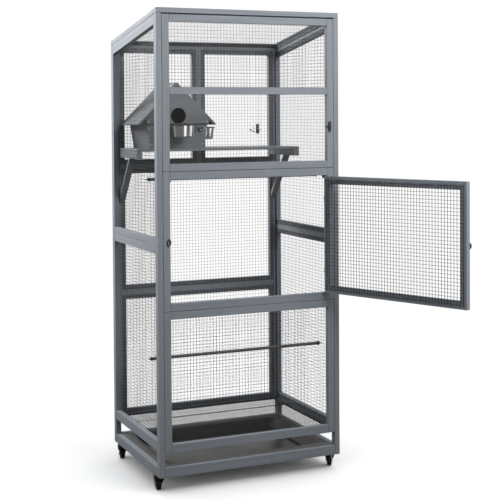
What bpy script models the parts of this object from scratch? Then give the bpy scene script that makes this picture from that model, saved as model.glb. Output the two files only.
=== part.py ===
# Tall indoor aviary: painted timber panels faced with welded wire, on casters.
# Metres, +Z up, the front of the cage faces -Y. The origin is on the floor,
# under the middle of the whole object with its door standing open.
# Dimensions are written in the cage's own frame, whose zero is the front left
# corner of the timber body at floor level; ORIGIN_X and ORIGIN_Y shift it.

import math
import bpy
import bmesh
from mathutils import Matrix, Vector

for old in list(bpy.data.objects):
    bpy.data.objects.remove(old, do_unlink=True)

# ---------------------------------------------------------------- dimensions
ORIGIN_X = -0.46461     # cage corner in the part's frame
ORIGIN_Y = 0.02350

W = 0.7240              # width of the timber body
D = 0.5385              # depth of the timber body
T = 0.0200              # thickness of every panel
S = 0.0280              # width of stiles and rails
GAP = 0.0003            # clearance between touching pieces

Z_BODY = 0.0600         # underside of the timber body, top of the casters
Z_BASE = 0.0950         # top of the base rails
Z_ROOF = 1.7330         # top of the roof at the front
ROOF_DROP = 0.0886      # fall of the roof from front to back
ROOF_T = 0.0190         # roof board thickness

# front, from the top down
Z_TOP_RAIL = 1.6838     # underside of the top rail
Z_MID_HI, Z_MID_LO = 1.4521, 1.4261
Z_D1_HI, Z_D1_SEAM, Z_D1_LO = 1.1784, 1.1511, 1.1229
Z_D2_HI, Z_D2_SEAM, Z_D2_LO = 0.6810, 0.6523, 0.6244
Z_FB_HI, Z_FB_LO = 0.1775, 0.1465
# sides
Z_SM_HI, Z_SM_SEAM, Z_SM_LO = 0.9150, 0.8886, 0.8600
Z_SB_HI, Z_SB_LO = 0.1885, 0.1535
# back
Z_BB_HI, Z_BB_LO = 0.1885, 0.1585
Z_BTOP_RAIL = 1.5991

MESH_T = 0.0008         # thickness of a wire panel
LAP = 0.0140            # how far a wire panel laps its frame

XR = W - T - S          # inner edge of the right front stile
XL = T + S              # inner edge of the left front stile

HINGE_X, HINGE_Y = XR - 0.00125, -0.0034
DOOR_OPEN = 113.26      # degrees, the angle the door stands open
DOOR_X0, DOOR_X1 = XL + 0.0030, XR - 0.0025
DOOR_Z0, DOOR_Z1 = Z_D2_HI + 0.0022, Z_D1_LO - 0.0020

PANEL_T = 0.0030        # clear sliding panels
GROOVE_DEPTH = 0.0045
TRACK_F, TRACK_R = 0.0059, 0.0124   # centre of the front and rear grooves

Z_SHELF = 1.2145        # underside of the shelf board
SHELF_T = 0.0105
NEST_X = 0.1880         # centre of the nest box
NEST_Y0, NEST_Y1 = 0.3000, 0.5050
NEST_Z0 = Z_SHELF + SHELF_T + GAP
NEST_APEX = 1.4770      # outer ridge of its roof
NEST_ROOF_T = 0.0090
PERCH_R = 0.0060

TRAY_T = 0.0012
WHEEL_R, WHEEL_W = 0.0220, 0.0180
CASTER_TRAIL = 0.0140

SLOPE = ROOF_DROP / D


def roof_under(y):
    return Z_ROOF - ROOF_T - SLOPE * y


# ---------------------------------------------------------------- helpers
def material(name, rgb, rough, metal=0.0, alpha=1.0):
    m = bpy.data.materials.get(name)
    if m is None:
        m = bpy.data.materials.new(name)
        m.use_nodes = True
        b = m.node_tree.nodes["Principled BSDF"]
        b.inputs["Base Color"].default_value = (rgb[0], rgb[1], rgb[2], 1.0)
        b.inputs["Roughness"].default_value = rough
        b.inputs["Metallic"].default_value = metal
        b.inputs["Alpha"].default_value = alpha
        m.diffuse_color = (rgb[0], rgb[1], rgb[2], 1.0)
    return m


GREY = (0.235, 0.255, 0.275)
BLACK = (0.020, 0.020, 0.022)
STEEL = (0.62, 0.62, 0.60)


def paint(name):
    return material("paint_" + name, GREY, 0.55)


def wire(name):
    return material("wire_" + name, BLACK, 0.45)


cage = bpy.data.objects.new("cage_corner", None)
cage.location = (ORIGIN_X, ORIGIN_Y, 0.0)
bpy.context.scene.collection.objects.link(cage)


def axis_empty(name, x, y, z, parent=None, rot_z=0.0):
    e = bpy.data.objects.new(name, None)
    e.location = (x, y, z)
    e.rotation_euler = (0.0, 0.0, math.radians(rot_z))
    bpy.context.scene.collection.objects.link(e)
    e.parent = parent or cage
    return e


def finish(name, bm, mat, parent=None, origin=(0.0, 0.0, 0.0), smooth=None):
    """Turn a bmesh in cage coordinates into a named object whose own origin
    is at the given point."""
    bmesh.ops.remove_doubles(bm, verts=bm.verts, dist=1e-6)
    bmesh.ops.recalc_face_normals(bm, faces=bm.faces)
    if origin != (0.0, 0.0, 0.0):
        bmesh.ops.translate(bm, verts=bm.verts, vec=-Vector(origin))
    me = bpy.data.meshes.new(name)
    bm.to_mesh(me)
    bm.free()
    me.materials.append(mat)
    if smooth is not None:
        me.shade_smooth()
        me.set_sharp_from_angle(angle=math.radians(smooth))
    ob = bpy.data.objects.new(name, me)
    bpy.context.scene.collection.objects.link(ob)
    ob.parent = parent or cage
    ob.location = origin
    return ob


def hidden_tool(name, bm):
    """A cutting or joining solid for a Boolean, kept out of the model."""
    bmesh.ops.remove_doubles(bm, verts=bm.verts, dist=1e-6)
    bmesh.ops.recalc_face_normals(bm, faces=bm.faces)
    me = bpy.data.meshes.new(name)
    bm.to_mesh(me)
    bm.free()
    ob = bpy.data.objects.new(name, me)
    bpy.context.scene.collection.objects.link(ob)
    ob.parent = cage
    ob.hide_render = True
    ob.display_type = 'WIRE'
    return ob


def boolean(ob, tool, operation):
    m = ob.modifiers.new(operation.lower(), 'BOOLEAN')
    m.operation = operation
    m.solver = 'EXACT'
    m.object = tool
    return m


def add_box(bm, x0, x1, y0, y1, z0, z1):
    r = bmesh.ops.create_cube(bm, size=1.0)
    for v in r["verts"]:
        v.co = Vector((x0 if v.co.x < 0 else x1,
                       y0 if v.co.y < 0 else y1,
                       z0 if v.co.z < 0 else z1))
    return r["verts"]


def box(name, x0, x1, y0, y1, z0, z1, mat, parent=None, origin=(0.0, 0.0, 0.0)):
    bm = bmesh.new()
    add_box(bm, x0, x1, y0, y1, z0, z1)
    return finish(name, bm, mat, parent, origin)


def lattice(us, vs, empty, place):
    """A flat frame: a grid of cells, some left empty, given a thickness.
    place(i, j, side) returns the corner's position."""
    bm = bmesh.new()
    verts = {}

    def vert(i, j, side):
        k = (i, j, side)
        if k not in verts:
            verts[k] = bm.verts.new(place(us[i], vs[j], side))
        return verts[k]

    nu, nv = len(us) - 1, len(vs) - 1

    def full(i, j):
        return 0 <= i < nu and 0 <= j < nv and (i, j) not in empty

    for i in range(nu):
        for j in range(nv):
            if not full(i, j):
                continue
            a, b, c, d = (i, j), (i + 1, j), (i + 1, j + 1), (i, j + 1)
            bm.faces.new([vert(*p, 0) for p in (a, b, c, d)])
            bm.faces.new([vert(*p, 1) for p in (d, c, b, a)])
            for (p, q, ni, nj) in ((a, b, i, j - 1), (b, c, i + 1, j),
                                   (c, d, i, j + 1), (d, a, i - 1, j)):
                if not full(ni, nj):
                    bm.faces.new([vert(*q, 0), vert(*p, 0), vert(*p, 1), vert(*q, 1)])
    return bm


def prism_x(bm, pts, x0, x1):
    """Extrude a (y, z) outline from x0 to x1."""
    lo = [bm.verts.new((x0, y, z)) for y, z in pts]
    hi = [bm.verts.new((x1, y, z)) for y, z in pts]
    bm.faces.new(lo)
    bm.faces.new(list(reversed(hi)))
    n = len(pts)
    for i in range(n):
        bm.faces.new((lo[i], lo[(i + 1) % n], hi[(i + 1) % n], hi[i]))


def prism_y(bm, pts, y0, y1):
    """Extrude an (x, z) outline from y0 to y1."""
    lo = [bm.verts.new((x, y0, z)) for x, z in pts]
    hi = [bm.verts.new((x, y1, z)) for x, z in pts]
    bm.faces.new(lo)
    bm.faces.new(list(reversed(hi)))
    n = len(pts)
    for i in range(n):
        bm.faces.new((lo[i], lo[(i + 1) % n], hi[(i + 1) % n], hi[i]))


def add_cylinder(bm, centre, axis, radius, length, seg, radius2=None):
    r2 = radius if radius2 is None else radius2
    r = bmesh.ops.create_cone(bm, cap_ends=True, segments=seg, radius1=radius,
                              radius2=r2, depth=length)
    rot = Vector((0, 0, 1)).rotation_difference(Vector(axis)).to_matrix().to_4x4()
    bmesh.ops.transform(bm, matrix=Matrix.Translation(Vector(centre)) @ rot, verts=r["verts"])
    return r["verts"]


def turned(bm, profile, centre, seg, axis='Z'):
    """Spin a closed (radius, height) outline round an axis."""
    rings = []
    for k in range(seg):
        a = 2.0 * math.pi * k / seg
        ring = []
        for r, h in profile:
            if axis == 'Z':
                p = (centre[0] + r * math.cos(a), centre[1] + r * math.sin(a), centre[2] + h)
            elif axis == 'X':
                p = (centre[0] + h, centre[1] + r * math.cos(a), centre[2] + r * math.sin(a))
            else:
                p = (centre[0] + r * math.cos(a), centre[1] + h, centre[2] + r * math.sin(a))
            ring.append(bm.verts.new(p))
        rings.append(ring)
    n = len(profile)
    for k in range(seg):
        a, b = rings[k], rings[(k + 1) % seg]
        for i in range(n):
            j = (i + 1) % n
            bm.faces.new((a[i], a[j], b[j], b[i]))
    bmesh.ops.remove_doubles(bm, verts=bm.verts, dist=1e-6)
    # an outline that starts and ends on the axis leaves slivers there
    bmesh.ops.dissolve_degenerate(bm, edges=bm.edges, dist=1e-7)


# ---------------------------------------------------------------- panels
def frame_xz(name, x0, x1, z_list, openings, y0, stile=S, top=None, extra_x=None):
    """A frame in the XZ plane, T thick from y0. z_list are the levels;
    openings are the rows left open between the stiles. top(y) slopes the
    highest level."""
    us = [x0, x0 + stile, x1 - stile, x1]
    vs = list(z_list)

    def place(u, v, side):
        y = y0 + (T if side else 0.0)
        z = v
        if top is not None and v == vs[-1]:
            z = top(y)
        return (u, y, z)

    bm = lattice(us, vs, {(1, j) for j in openings}, place)
    return finish(name, bm, paint(name))


def frame_yz(name, x0, z_list, openings, top=None, mirror_groove=False):
    us = [0.0, S, D - S, D]
    vs = list(z_list)

    def place(u, v, side):
        x = x0 + (T if side else 0.0)
        z = v
        if top is not None:
            if v == vs[-1]:
                z = top(u) - GAP
            elif v == vs[-2]:
                z = top(u) - GAP - (vs[-1] - vs[-2])
        return (x, u, z)

    bm = lattice(us, vs, {(1, j) for j in openings}, place)
    return finish(name, bm, paint(name))


def wire_plate(name, x0, x1, y0, y1, z0, z1, parent=None, origin=(0.0, 0.0, 0.0)):
    return box(name, x0, x1, y0, y1, z0, z1, wire(name), parent, origin)


# roof: a frame lying on the slope, its rails as wide as the panels below are
# thick, and the wire tucked in under it between the side panels
roof_len = math.hypot(D, ROOF_DROP)


def on_roof(u, v, depth):
    """u across, v down the slope from the front top edge, depth below it."""
    return (u, v * D / roof_len, Z_ROOF - v * ROOF_DROP / roof_len - depth)


bm = lattice([0.0, T, W - T, W],
             [0.0, S, roof_len - T, roof_len], {(1, 1)},
             lambda u, v, side: on_roof(u, v, 0.0 if side else ROOF_T - GAP))
finish("roof_frame", bm, paint("roof_frame"))

bm = lattice([T + 0.0015, W - T - 0.0015],
             [T + 0.0030, roof_len - T - 0.0050], set(),
             lambda u, v, side: on_roof(u, v, ROOF_T + (GAP if side else GAP + MESH_T)))
finish("roof_mesh", bm, wire("roof_mesh"))

# sides: full-height stiles; the lower frames carry the base rail, the ledge
# that the tray's rim hangs on and the ledge under the floor grate
for side, x0, x_in in (("left", 0.0, T), ("right", W - T, W - T)):
    low = frame_yz(side + "_lower_frame", x0,
                   [Z_BODY, Z_BASE, Z_SB_LO, Z_SB_HI, Z_SM_LO, Z_SM_SEAM - GAP], {1, 3})
    s_in = 1.0 if side == "left" else -1.0
    bm = bmesh.new()
    a, b = sorted((x_in - s_in * 0.0010, x_in + s_in * 0.0250))
    add_box(bm, a, b, T + 0.0020, D - T - 0.0020, Z_BASE - 0.0200, Z_BASE - 0.0005)
    boolean(low, hidden_tool(side + "_tray_ledge_tool", bm), 'UNION')
    bm = bmesh.new()
    a, b = sorted((x_in - s_in * 0.0010, x_in + s_in * 0.0120))
    add_box(bm, a, b, T + 0.0020, D - T - 0.0020, Z_SB_LO + 0.0005, Z_SB_LO + 0.0115)
    boolean(low, hidden_tool(side + "_grate_ledge_tool", bm), 'UNION')

    frame_yz(side + "_upper_frame", x0,
             [Z_SM_SEAM + GAP, Z_SM_HI, roof_under(0.0) - 0.0368, roof_under(0.0)],
             {1}, top=roof_under)

    a, b = sorted((x_in + s_in * GAP, x_in + s_in * (GAP + MESH_T)))
    wire_plate(side + "_lower_mesh", a, b, T + 0.0020, D - T - 0.0020,
               Z_SB_LO + 0.0160, Z_SM_SEAM - 0.0040)
    bm = bmesh.new()
    ya, yb = T + 0.0020, D - T - 0.0020
    prism_x(bm, [(ya, Z_SM_SEAM + 0.0040), (yb, Z_SM_SEAM + 0.0040),
                 (yb, roof_under(yb) - 0.0060), (ya, roof_under(ya) - 0.0060)], a, b)
    finish(side + "_upper_mesh", bm, wire(side + "_upper_mesh"))

# back: two panels side by side at the top, one in the middle, one below
XB0, XB1 = T + GAP, W - T - GAP
YB = D - T
back_top = lambda y: roof_under(y) - GAP
MESH_YB0, MESH_YB1 = YB - GAP - MESH_T, YB - GAP
xm = W / 2.0
frame_xz("back_upper_left_frame", XB0, xm - GAP / 2,
         [Z_D1_SEAM + GAP, Z_D1_HI, Z_BTOP_RAIL, 1.66], {1}, YB, top=back_top)
frame_xz("back_upper_right_frame", xm + GAP / 2, XB1,
         [Z_D1_SEAM + GAP, Z_D1_HI, Z_BTOP_RAIL, 1.66], {1}, YB, top=back_top)
frame_xz("back_middle_frame", XB0, XB1,
         [Z_D2_SEAM + GAP, Z_D2_HI, Z_D1_LO, Z_D1_SEAM], {1}, YB)
frame_xz("back_lower_frame", XB0, XB1,
         [Z_BB_LO, Z_BB_HI, Z_D2_LO, Z_D2_SEAM], {1}, YB)
mx0, mx1 = T + 0.0022, W - T - 0.0022
z_hi = roof_under(YB) - 0.0060
wire_plate("back_upper_left_mesh", mx0, xm - 0.0030, MESH_YB0, MESH_YB1, Z_D1_SEAM + 0.0040, z_hi)
wire_plate("back_upper_right_mesh", xm + 0.0030, mx1, MESH_YB0, MESH_YB1, Z_D1_SEAM + 0.0040, z_hi)
wire_plate("back_middle_mesh", mx0, mx1, MESH_YB0, MESH_YB1, Z_D2_SEAM + 0.0040, Z_D1_SEAM - 0.0040)
wire_plate("back_lower_mesh", mx0, mx1, MESH_YB0, MESH_YB1, Z_BB_LO + 0.0110, Z_D2_SEAM - 0.0040)
box("base_back_rail", XB0, XB1, YB, D, Z_BODY, Z_BASE, paint("base_back_rail"))

# front: upper frame with a wire light above and a doorless opening below,
# grooved top and bottom for the clear sliding panels
front_top = lambda y: roof_under(y) - GAP
upper = frame_xz("front_upper_frame", XB0, XB1,
                 [Z_D1_SEAM + GAP, Z_D1_HI, Z_MID_LO, Z_MID_HI, Z_TOP_RAIL, 1.7140],
                 {1, 3}, 0.0, stile=S - GAP, top=front_top)
bm = bmesh.new()
for yc in (TRACK_F, TRACK_R):
    h = PANEL_T / 2 + 0.0004
    add_box(bm, XL - 0.0010, XR + 0.0010, yc - h, yc + h, Z_D1_HI - GROOVE_DEPTH, Z_MID_LO + GROOVE_DEPTH)
boolean(upper, hidden_tool("groove_tool", bm), 'DIFFERENCE')
frame_xz("door_surround", XB0, XB1,
         [Z_D2_SEAM + GAP, Z_D2_HI, Z_D1_LO, Z_D1_SEAM], {1}, 0.0, stile=S - GAP)
frame_xz("front_lower_frame", XB0, XB1,
         [Z_FB_LO, Z_FB_HI, Z_D2_LO, Z_D2_SEAM], {1}, 0.0, stile=S - GAP)
box("base_front_rail", XB0, XB1, 0.0, T, Z_BODY, Z_BASE, paint("base_front_rail"))
my0, my1 = T + GAP, T + GAP + MESH_T
wire_plate("front_upper_mesh", mx0, mx1, my0, my1, Z_MID_LO + 0.0060, roof_under(T) - 0.0060)
wire_plate("front_lower_mesh", mx0, mx1, my0, my1, Z_FB_LO + 0.0230, Z_D2_SEAM - 0.0040)

# ---------------------------------------------------------------- door
hinge = axis_empty("door_axis", HINGE_X, HINGE_Y, 0.0, rot_z=DOOR_OPEN)


def to_door(bm):
    bmesh.ops.translate(bm, verts=bm.verts, vec=(-HINGE_X, -HINGE_Y, 0.0))
    return bm


# the door's parts are drawn shut, then swung by their parent
bm = lattice([DOOR_X0, DOOR_X0 + S, DOOR_X1 - S, DOOR_X1],
             [DOOR_Z0, DOOR_Z0 + S, DOOR_Z1 - S, DOOR_Z1], {(1, 1)},
             lambda u, v, side: (u, 0.0195 if side else 0.0, v))
finish("door_frame", to_door(bm), paint("door_frame"), hinge)
bm = bmesh.new()
add_box(bm, DOOR_X0 + S - 0.0180, DOOR_X1 - 0.0020, 0.0195 + GAP, 0.0195 + GAP + MESH_T,
        DOOR_Z0 + 0.0060, DOOR_Z1 - 0.0060)
finish("door_mesh", to_door(bm), wire("door_mesh"), hinge)

KNUCKLE_R, PIN_R, LEAF_T, HINGE_H = 0.0030, 0.0014, 0.0008, 0.0600
for tag, zc in (("upper", DOOR_Z1 - 0.0850), ("lower", DOOR_Z0 + 0.0850)):
    steel = material("hinge_steel_" + tag, (0.055, 0.055, 0.060), 0.35, 1.0)
    third = HINGE_H / 3
    # fixed leaf: plate on the stile, two end knuckles and the pin
    bm = bmesh.new()
    add_box(bm, XR - GAP - LEAF_T, XR - GAP, -0.0012, 0.0190, zc - HINGE_H / 2, zc + HINGE_H / 2)
    leaf = finish("hinge_%s_post_leaf" % tag, bm, steel, smooth=40)
    bm = bmesh.new()
    for s in (-1, 1):
        add_cylinder(bm, (HINGE_X, HINGE_Y, zc + s * third), (0, 0, 1), KNUCKLE_R, third - 0.0006, 16)
    boolean(leaf, hidden_tool("knuckle_tool_" + tag, bm), 'UNION')
    bm = bmesh.new()
    add_cylinder(bm, (HINGE_X, HINGE_Y, zc), (0, 0, 1), PIN_R, HINGE_H - 0.0080, 12)
    boolean(leaf, hidden_tool("pin_tool_" + tag, bm), 'UNION')
    bm = bmesh.new()
    add_box(bm, XR - 0.0150, XR + 0.0010, -0.0013, 0.0200, zc - third / 2 - 0.0005, zc + third / 2 + 0.0005)
    boolean(leaf, hidden_tool("leaf_gap_tool_" + tag, bm), 'DIFFERENCE')
    # moving leaf: plate on the door's edge and the middle knuckle
    bm = bmesh.new()
    z0, z1 = zc - third / 2 + 0.0003, zc + third / 2 - 0.0003
    outer = [(KNUCKLE_R * math.cos(a), KNUCKLE_R * math.sin(a)) for a in
             [2 * math.pi * k / 16 for k in range(16)]]
    ring_o = [[bm.verts.new((HINGE_X + x, HINGE_Y + y, z)) for x, y in outer] for z in (z0, z1)]
    ring_i = [[bm.verts.new((HINGE_X + x * 0.0017 / KNUCKLE_R, HINGE_Y + y * 0.0017 / KNUCKLE_R, z))
               for x, y in outer] for z in (z0, z1)]
    for i in range(16):
        j = (i + 1) % 16
        bm.faces.new((ring_o[0][i], ring_o[0][j], ring_o[1][j], ring_o[1][i]))
        bm.faces.new((ring_i[0][j], ring_i[0][i], ring_i[1][i], ring_i[1][j]))
        bm.faces.new((ring_o[0][j], ring_o[0][i], ring_i[0][i], ring_i[0][j]))
        bm.faces.new((ring_o[1][i], ring_o[1][j], ring_i[1][j], ring_i[1][i]))
    knuckle = finish("hinge_%s_door_leaf" % tag, to_door(bm), steel, hinge, smooth=40)
    bm = bmesh.new()
    add_box(bm, HINGE_X - 0.00095, HINGE_X - 0.00015, -0.0012, 0.0190, z0, z1)
    tool = hidden_tool("door_leaf_tool_" + tag, to_door(bm))
    tool.parent = hinge
    boolean(knuckle, tool, 'UNION')

# twist latch on the door's outer face, its tongue standing upright
LATCH_X, LATCH_Z = DOOR_X0 + 0.0135, 0.8995
latch_axis = axis_empty("door_latch_axis", LATCH_X - HINGE_X, -GAP - HINGE_Y, LATCH_Z, hinge)
black = material("latch_black", BLACK, 0.35)
bm = bmesh.new()
add_cylinder(bm, (0, -0.0015, 0), (0, 1, 0), 0.0080, 0.0030, 20)
latch = finish("door_latch", bm, black, latch_axis, smooth=40)
bm = bmesh.new()
add_cylinder(bm, (0, -0.0080, 0), (0, 1, 0), 0.0022, 0.0140, 12)
t1 = hidden_tool("latch_stem_tool", bm)
t1.parent = latch_axis
boolean(latch, t1, 'UNION')
bm = bmesh.new()
prism_y(bm, [(-0.0035, -0.0120), (0.0035, -0.0120), (0.0040, 0.0), (0.0030, 0.0240),
             (-0.0030, 0.0240), (-0.0040, 0.0)], -0.0085, -0.0060)
t2 = hidden_tool("latch_tongue_tool", bm)
t2.parent = latch_axis
boolean(latch, t2, 'UNION')
bm = bmesh.new()
add_box(bm, -0.0095, 0.0095, -0.0180, -0.0140, -0.0028, 0.0028)
t3 = hidden_tool("latch_grip_tool", bm)
t3.parent = latch_axis
boolean(latch, t3, 'UNION')

# oval keeper ring on the left stile
bm = bmesh.new()
kx, kz = XL - 0.0065, 0.8995
n = 20
rings = []
for y in (-0.0045, -GAP):
    for (a, b) in ((0.0075, 0.0130), (0.0042, 0.0097)):
        rings.append([bm.verts.new((kx + a * math.cos(2 * math.pi * k / n), y,
                                    kz + b * math.sin(2 * math.pi * k / n))) for k in range(n)])
fo, fi, bo, bi = rings
for k in range(n):
    j = (k + 1) % n
    bm.faces.new((fo[k], fo[j], fi[j], fi[k]))
    bm.faces.new((bo[j], bo[k], bi[k], bi[j]))
    bm.faces.new((fo[j], fo[k], bo[k], bo[j]))
    bm.faces.new((fi[k], fi[j], bi[j], bi[k]))
finish("latch_keeper", bm, material("keeper_black", BLACK, 0.35), smooth=40)

# ---------------------------------------------------------------- clear sliding panels
PZ0, PZ1 = Z_D1_HI - 0.0040, Z_MID_LO + 0.0036
h = PANEL_T / 2
box("clear_panel_left", XL + 0.0015, 0.4050, TRACK_F - h, TRACK_F + h, PZ0, PZ1,
    material("clear_left", (0.9, 0.93, 0.93), 0.05, alpha=0.2))
box("clear_panel_right", 0.3890, XR - 0.0015, TRACK_R - h, TRACK_R + h, PZ0, PZ1,
    material("clear_right", (0.9, 0.93, 0.93), 0.05, alpha=0.2))


def turn_latch(name, x, y_back, z, arm):
    """A small lever latch: round foot, upright lever and a ball-ended arm."""
    pivot = axis_empty(name + "_axis", x, y_back, z)
    mat = material(name + "_black", BLACK, 0.35)
    bm = bmesh.new()
    add_cylinder(bm, (0, -0.0020, 0), (0, 1, 0), 0.0070, 0.0040, 16)
    ob = finish(name, bm, mat, pivot, smooth=40)
    bm = bmesh.new()
    prism_y(bm, [(-0.0040, -0.0170), (0.0040, -0.0170), (0.0040, 0.0190), (-0.0040, 0.0190)],
            -0.0080, -0.0035)
    t = hidden_tool(name + "_lever_tool", bm)
    t.parent = pivot
    boolean(ob, t, 'UNION')
    bm = bmesh.new()
    add_cylinder(bm, (arm * 0.5, -0.0060, 0.0), (1, 0, 0), 0.0016, abs(arm), 10)
    t = hidden_tool(name + "_arm_tool", bm)
    t.parent = pivot
    boolean(ob, t, 'UNION')
    bm = bmesh.new()
    bmesh.ops.create_uvsphere(bm, u_segments=12, v_segments=8, radius=0.0040)
    bmesh.ops.translate(bm, verts=bm.verts, vec=(arm, -0.0060, 0.0))
    t = hidden_tool(name + "_ball_tool", bm)
    t.parent = pivot
    boolean(ob, t, 'UNION')
    return ob


turn_latch("panel_latch", 0.3905, TRACK_F - h - GAP, 1.3000, -0.0330)
turn_latch("stile_latch", 0.6850, -GAP, 1.3060, -0.0140)

# ---------------------------------------------------------------- tray and grate
tx0, tx1 = T + 0.0030, W - T - 0.0030
ty0, ty1 = T + 0.0030, D - T - 0.0030
zr = Z_BASE + 0.0001    # underside of the rim, on the ledges' top
zf = 0.0618


def rect(x0, x1, y0, y1, r, z, bm):
    """A rounded rectangle, three segments to a corner."""
    pts = []
    for cx, cy, a0 in ((x1 - r, y1 - r, 0), (x0 + r, y1 - r, 90), (x0 + r, y0 + r, 180), (x1 - r, y0 + r, 270)):
        for k in range(4):
            a = math.radians(a0 + 30 * k)
            pts.append(bm.verts.new((cx + r * math.cos(a), cy + r * math.sin(a), z)))
    return pts


bm = bmesh.new()
lip, side_in = 0.0330, 0.0270
outline = [
    rect(tx0, tx1, ty0, ty1, 0.010, zr, bm),
    rect(tx0, tx1, ty0, ty1, 0.010, zr + TRAY_T, bm),
    rect(tx0 + lip, tx1 - lip, ty0 + lip, ty1 - lip, 0.020, zr + TRAY_T, bm),
    rect(tx0 + lip + side_in, tx1 - lip - side_in, ty0 + lip + side_in, ty1 - lip - side_in, 0.020, zf + TRAY_T, bm),
    rect(tx0 + lip + side_in, tx1 - lip - side_in, ty0 + lip + side_in, ty1 - lip - side_in, 0.020, zf, bm),
    rect(tx0 + lip - 0.0012, tx1 - lip + 0.0012, ty0 + lip - 0.0012, ty1 - lip + 0.0012, 0.020, zr, bm),
]
n = len(outline[0])
for a, b in ((0, 1), (1, 2), (2, 3)):
    for k in range(n):
        j = (k + 1) % n
        bm.faces.new((outline[a][k], outline[a][j], outline[b][j], outline[b][k]))
bm.faces.new(outline[3])
for a, b in ((5, 0), (4, 5)):
    for k in range(n):
        j = (k + 1) % n
        bm.faces.new((outline[a][k], outline[a][j], outline[b][j], outline[b][k]))
bm.faces.new(list(reversed(outline[4])))
finish("tray", bm, material("tray_steel", STEEL, 0.22, 1.0))

gz = Z_SB_LO + 0.0115 + GAP
box("floor_grate", T + 0.0022, W - T - 0.0022, T + 0.0022, D - T - 0.0022, gz, gz + 0.0016,
    wire("floor_grate"))

# ---------------------------------------------------------------- shelf
sx0, sx1 = T + 0.0016, W - T - 0.0016
sy0, sy1 = 0.2910, YB - GAP - MESH_T - GAP
box("shelf_board", sx0, sx1, sy0, sy1, Z_SHELF + GAP, Z_SHELF + SHELF_T, paint("shelf_board"))
ARM_H, ARM_W = 0.0265, 0.0230
BR_Y, BR_W, BR_FOOT = 0.3750, 0.0190, 1.0060     # brace: top, width along the arm, foot
for tag, bx0 in (("left", sx0), ("right", sx1 - ARM_W)):
    yb = sy1
    za = Z_SHELF - ARM_H
    rise = (za - BR_FOOT) / (yb - BR_Y)
    bm = bmesh.new()
    prism_x(bm, [(0.2930, Z_SHELF), (0.2930, za), (BR_Y, za), (yb, BR_FOOT),
                 (yb, BR_FOOT + BR_W * rise), (BR_Y + BR_W, za), (yb, za), (yb, Z_SHELF)],
            bx0, bx0 + ARM_W)
    finish("shelf_bracket_" + tag, bm, paint("shelf_bracket_" + tag))

# ---------------------------------------------------------------- nest box
ax_in = NEST_APEX - NEST_ROOF_T * math.sqrt(2.0) - 0.0005
shoulder = 0.1265
foot = 0.1080
wall = 0.0080
z_sh = ax_in - shoulder
bm = bmesh.new()
prism_y(bm, [(NEST_X - foot, NEST_Z0), (NEST_X + foot, NEST_Z0), (NEST_X + shoulder, z_sh),
             (NEST_X, ax_in), (NEST_X - shoulder, z_sh)], NEST_Y0, NEST_Y1)
body = finish("nest_body", bm, paint("nest_body"))
bm = bmesh.new()
zf_n = NEST_Z0 + wall
lean = (shoulder - foot) / (z_sh - NEST_Z0)
w_lo = foot + lean * wall - wall
w_hi = shoulder - wall
prism_y(bm, [(NEST_X - w_lo, zf_n), (NEST_X + w_lo, zf_n), (NEST_X + w_hi, z_sh), (NEST_X + w_hi, 1.60),
             (NEST_X - w_hi, 1.60), (NEST_X - w_hi, z_sh)], NEST_Y0 + wall, NEST_Y1 - wall)
boolean(body, hidden_tool("nest_room_tool", bm), 'DIFFERENCE')
bm = bmesh.new()
add_box(bm, NEST_X - w_hi, NEST_X + w_hi, NEST_Y0 - 0.01, NEST_Y0 + wall + 0.002, 1.3180, 1.62)
boolean(body, hidden_tool("nest_mouth_tool", bm), 'DIFFERENCE')

FRONT_T = 0.0095
bm = bmesh.new()
prism_y(bm, [(NEST_X - shoulder, 1.3200), (NEST_X + shoulder, 1.3200), (NEST_X + shoulder, z_sh),
             (NEST_X, ax_in), (NEST_X - shoulder, z_sh)], NEST_Y0 - GAP - FRONT_T, NEST_Y0 - GAP)
face = finish("nest_front", bm, paint("nest_front"), smooth=40)
bm = bmesh.new()
add_cylinder(bm, (NEST_X + 0.0015, NEST_Y0, 1.3460 + 0.0040), (0, 1, 0), 0.0300, 0.08, 32)
boolean(face, hidden_tool("nest_hole_tool", bm), 'DIFFERENCE')

reach = 0.1580
ry0, ry1 = NEST_Y0 - 0.0045, 0.5100
k = NEST_ROOF_T * math.sqrt(2.0)
z_tip = NEST_APEX - reach
for name, s in (("nest_roof_left", -1.0), ("nest_lid", 1.0)):
    g = 0.0002 * s
    pts = [(NEST_X + g, NEST_APEX), (NEST_X + s * reach, z_tip),
           (NEST_X + s * (reach - 0.0020), z_tip - 0.0045),
           (NEST_X + s * (reach - k + 0.0045), z_tip - 0.0045),
           (NEST_X + g, NEST_APEX - k)]
    bm = bmesh.new()
    prism_y(bm, pts, ry0, ry1)
    o = (NEST_X, ry0, NEST_APEX) if name == "nest_lid" else (0.0, 0.0, 0.0)
    finish(name, bm, paint(name), origin=o)

# ---------------------------------------------------------------- perches
for name, y, z in (("perch_upper", 0.1500, 1.1150), ("perch_lower", 0.1370, 0.4620)):
    bm = bmesh.new()
    add_cylinder(bm, (W / 2, y, z), (1, 0, 0), PERCH_R, W - 2 * (T + 0.0016), 16)
    finish(name, bm, material("dowel_" + name, (0.33, 0.33, 0.33), 0.5), smooth=40)

# ---------------------------------------------------------------- cups
CUP_H, CUP_WALL = 0.0490, 0.0010
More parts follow.
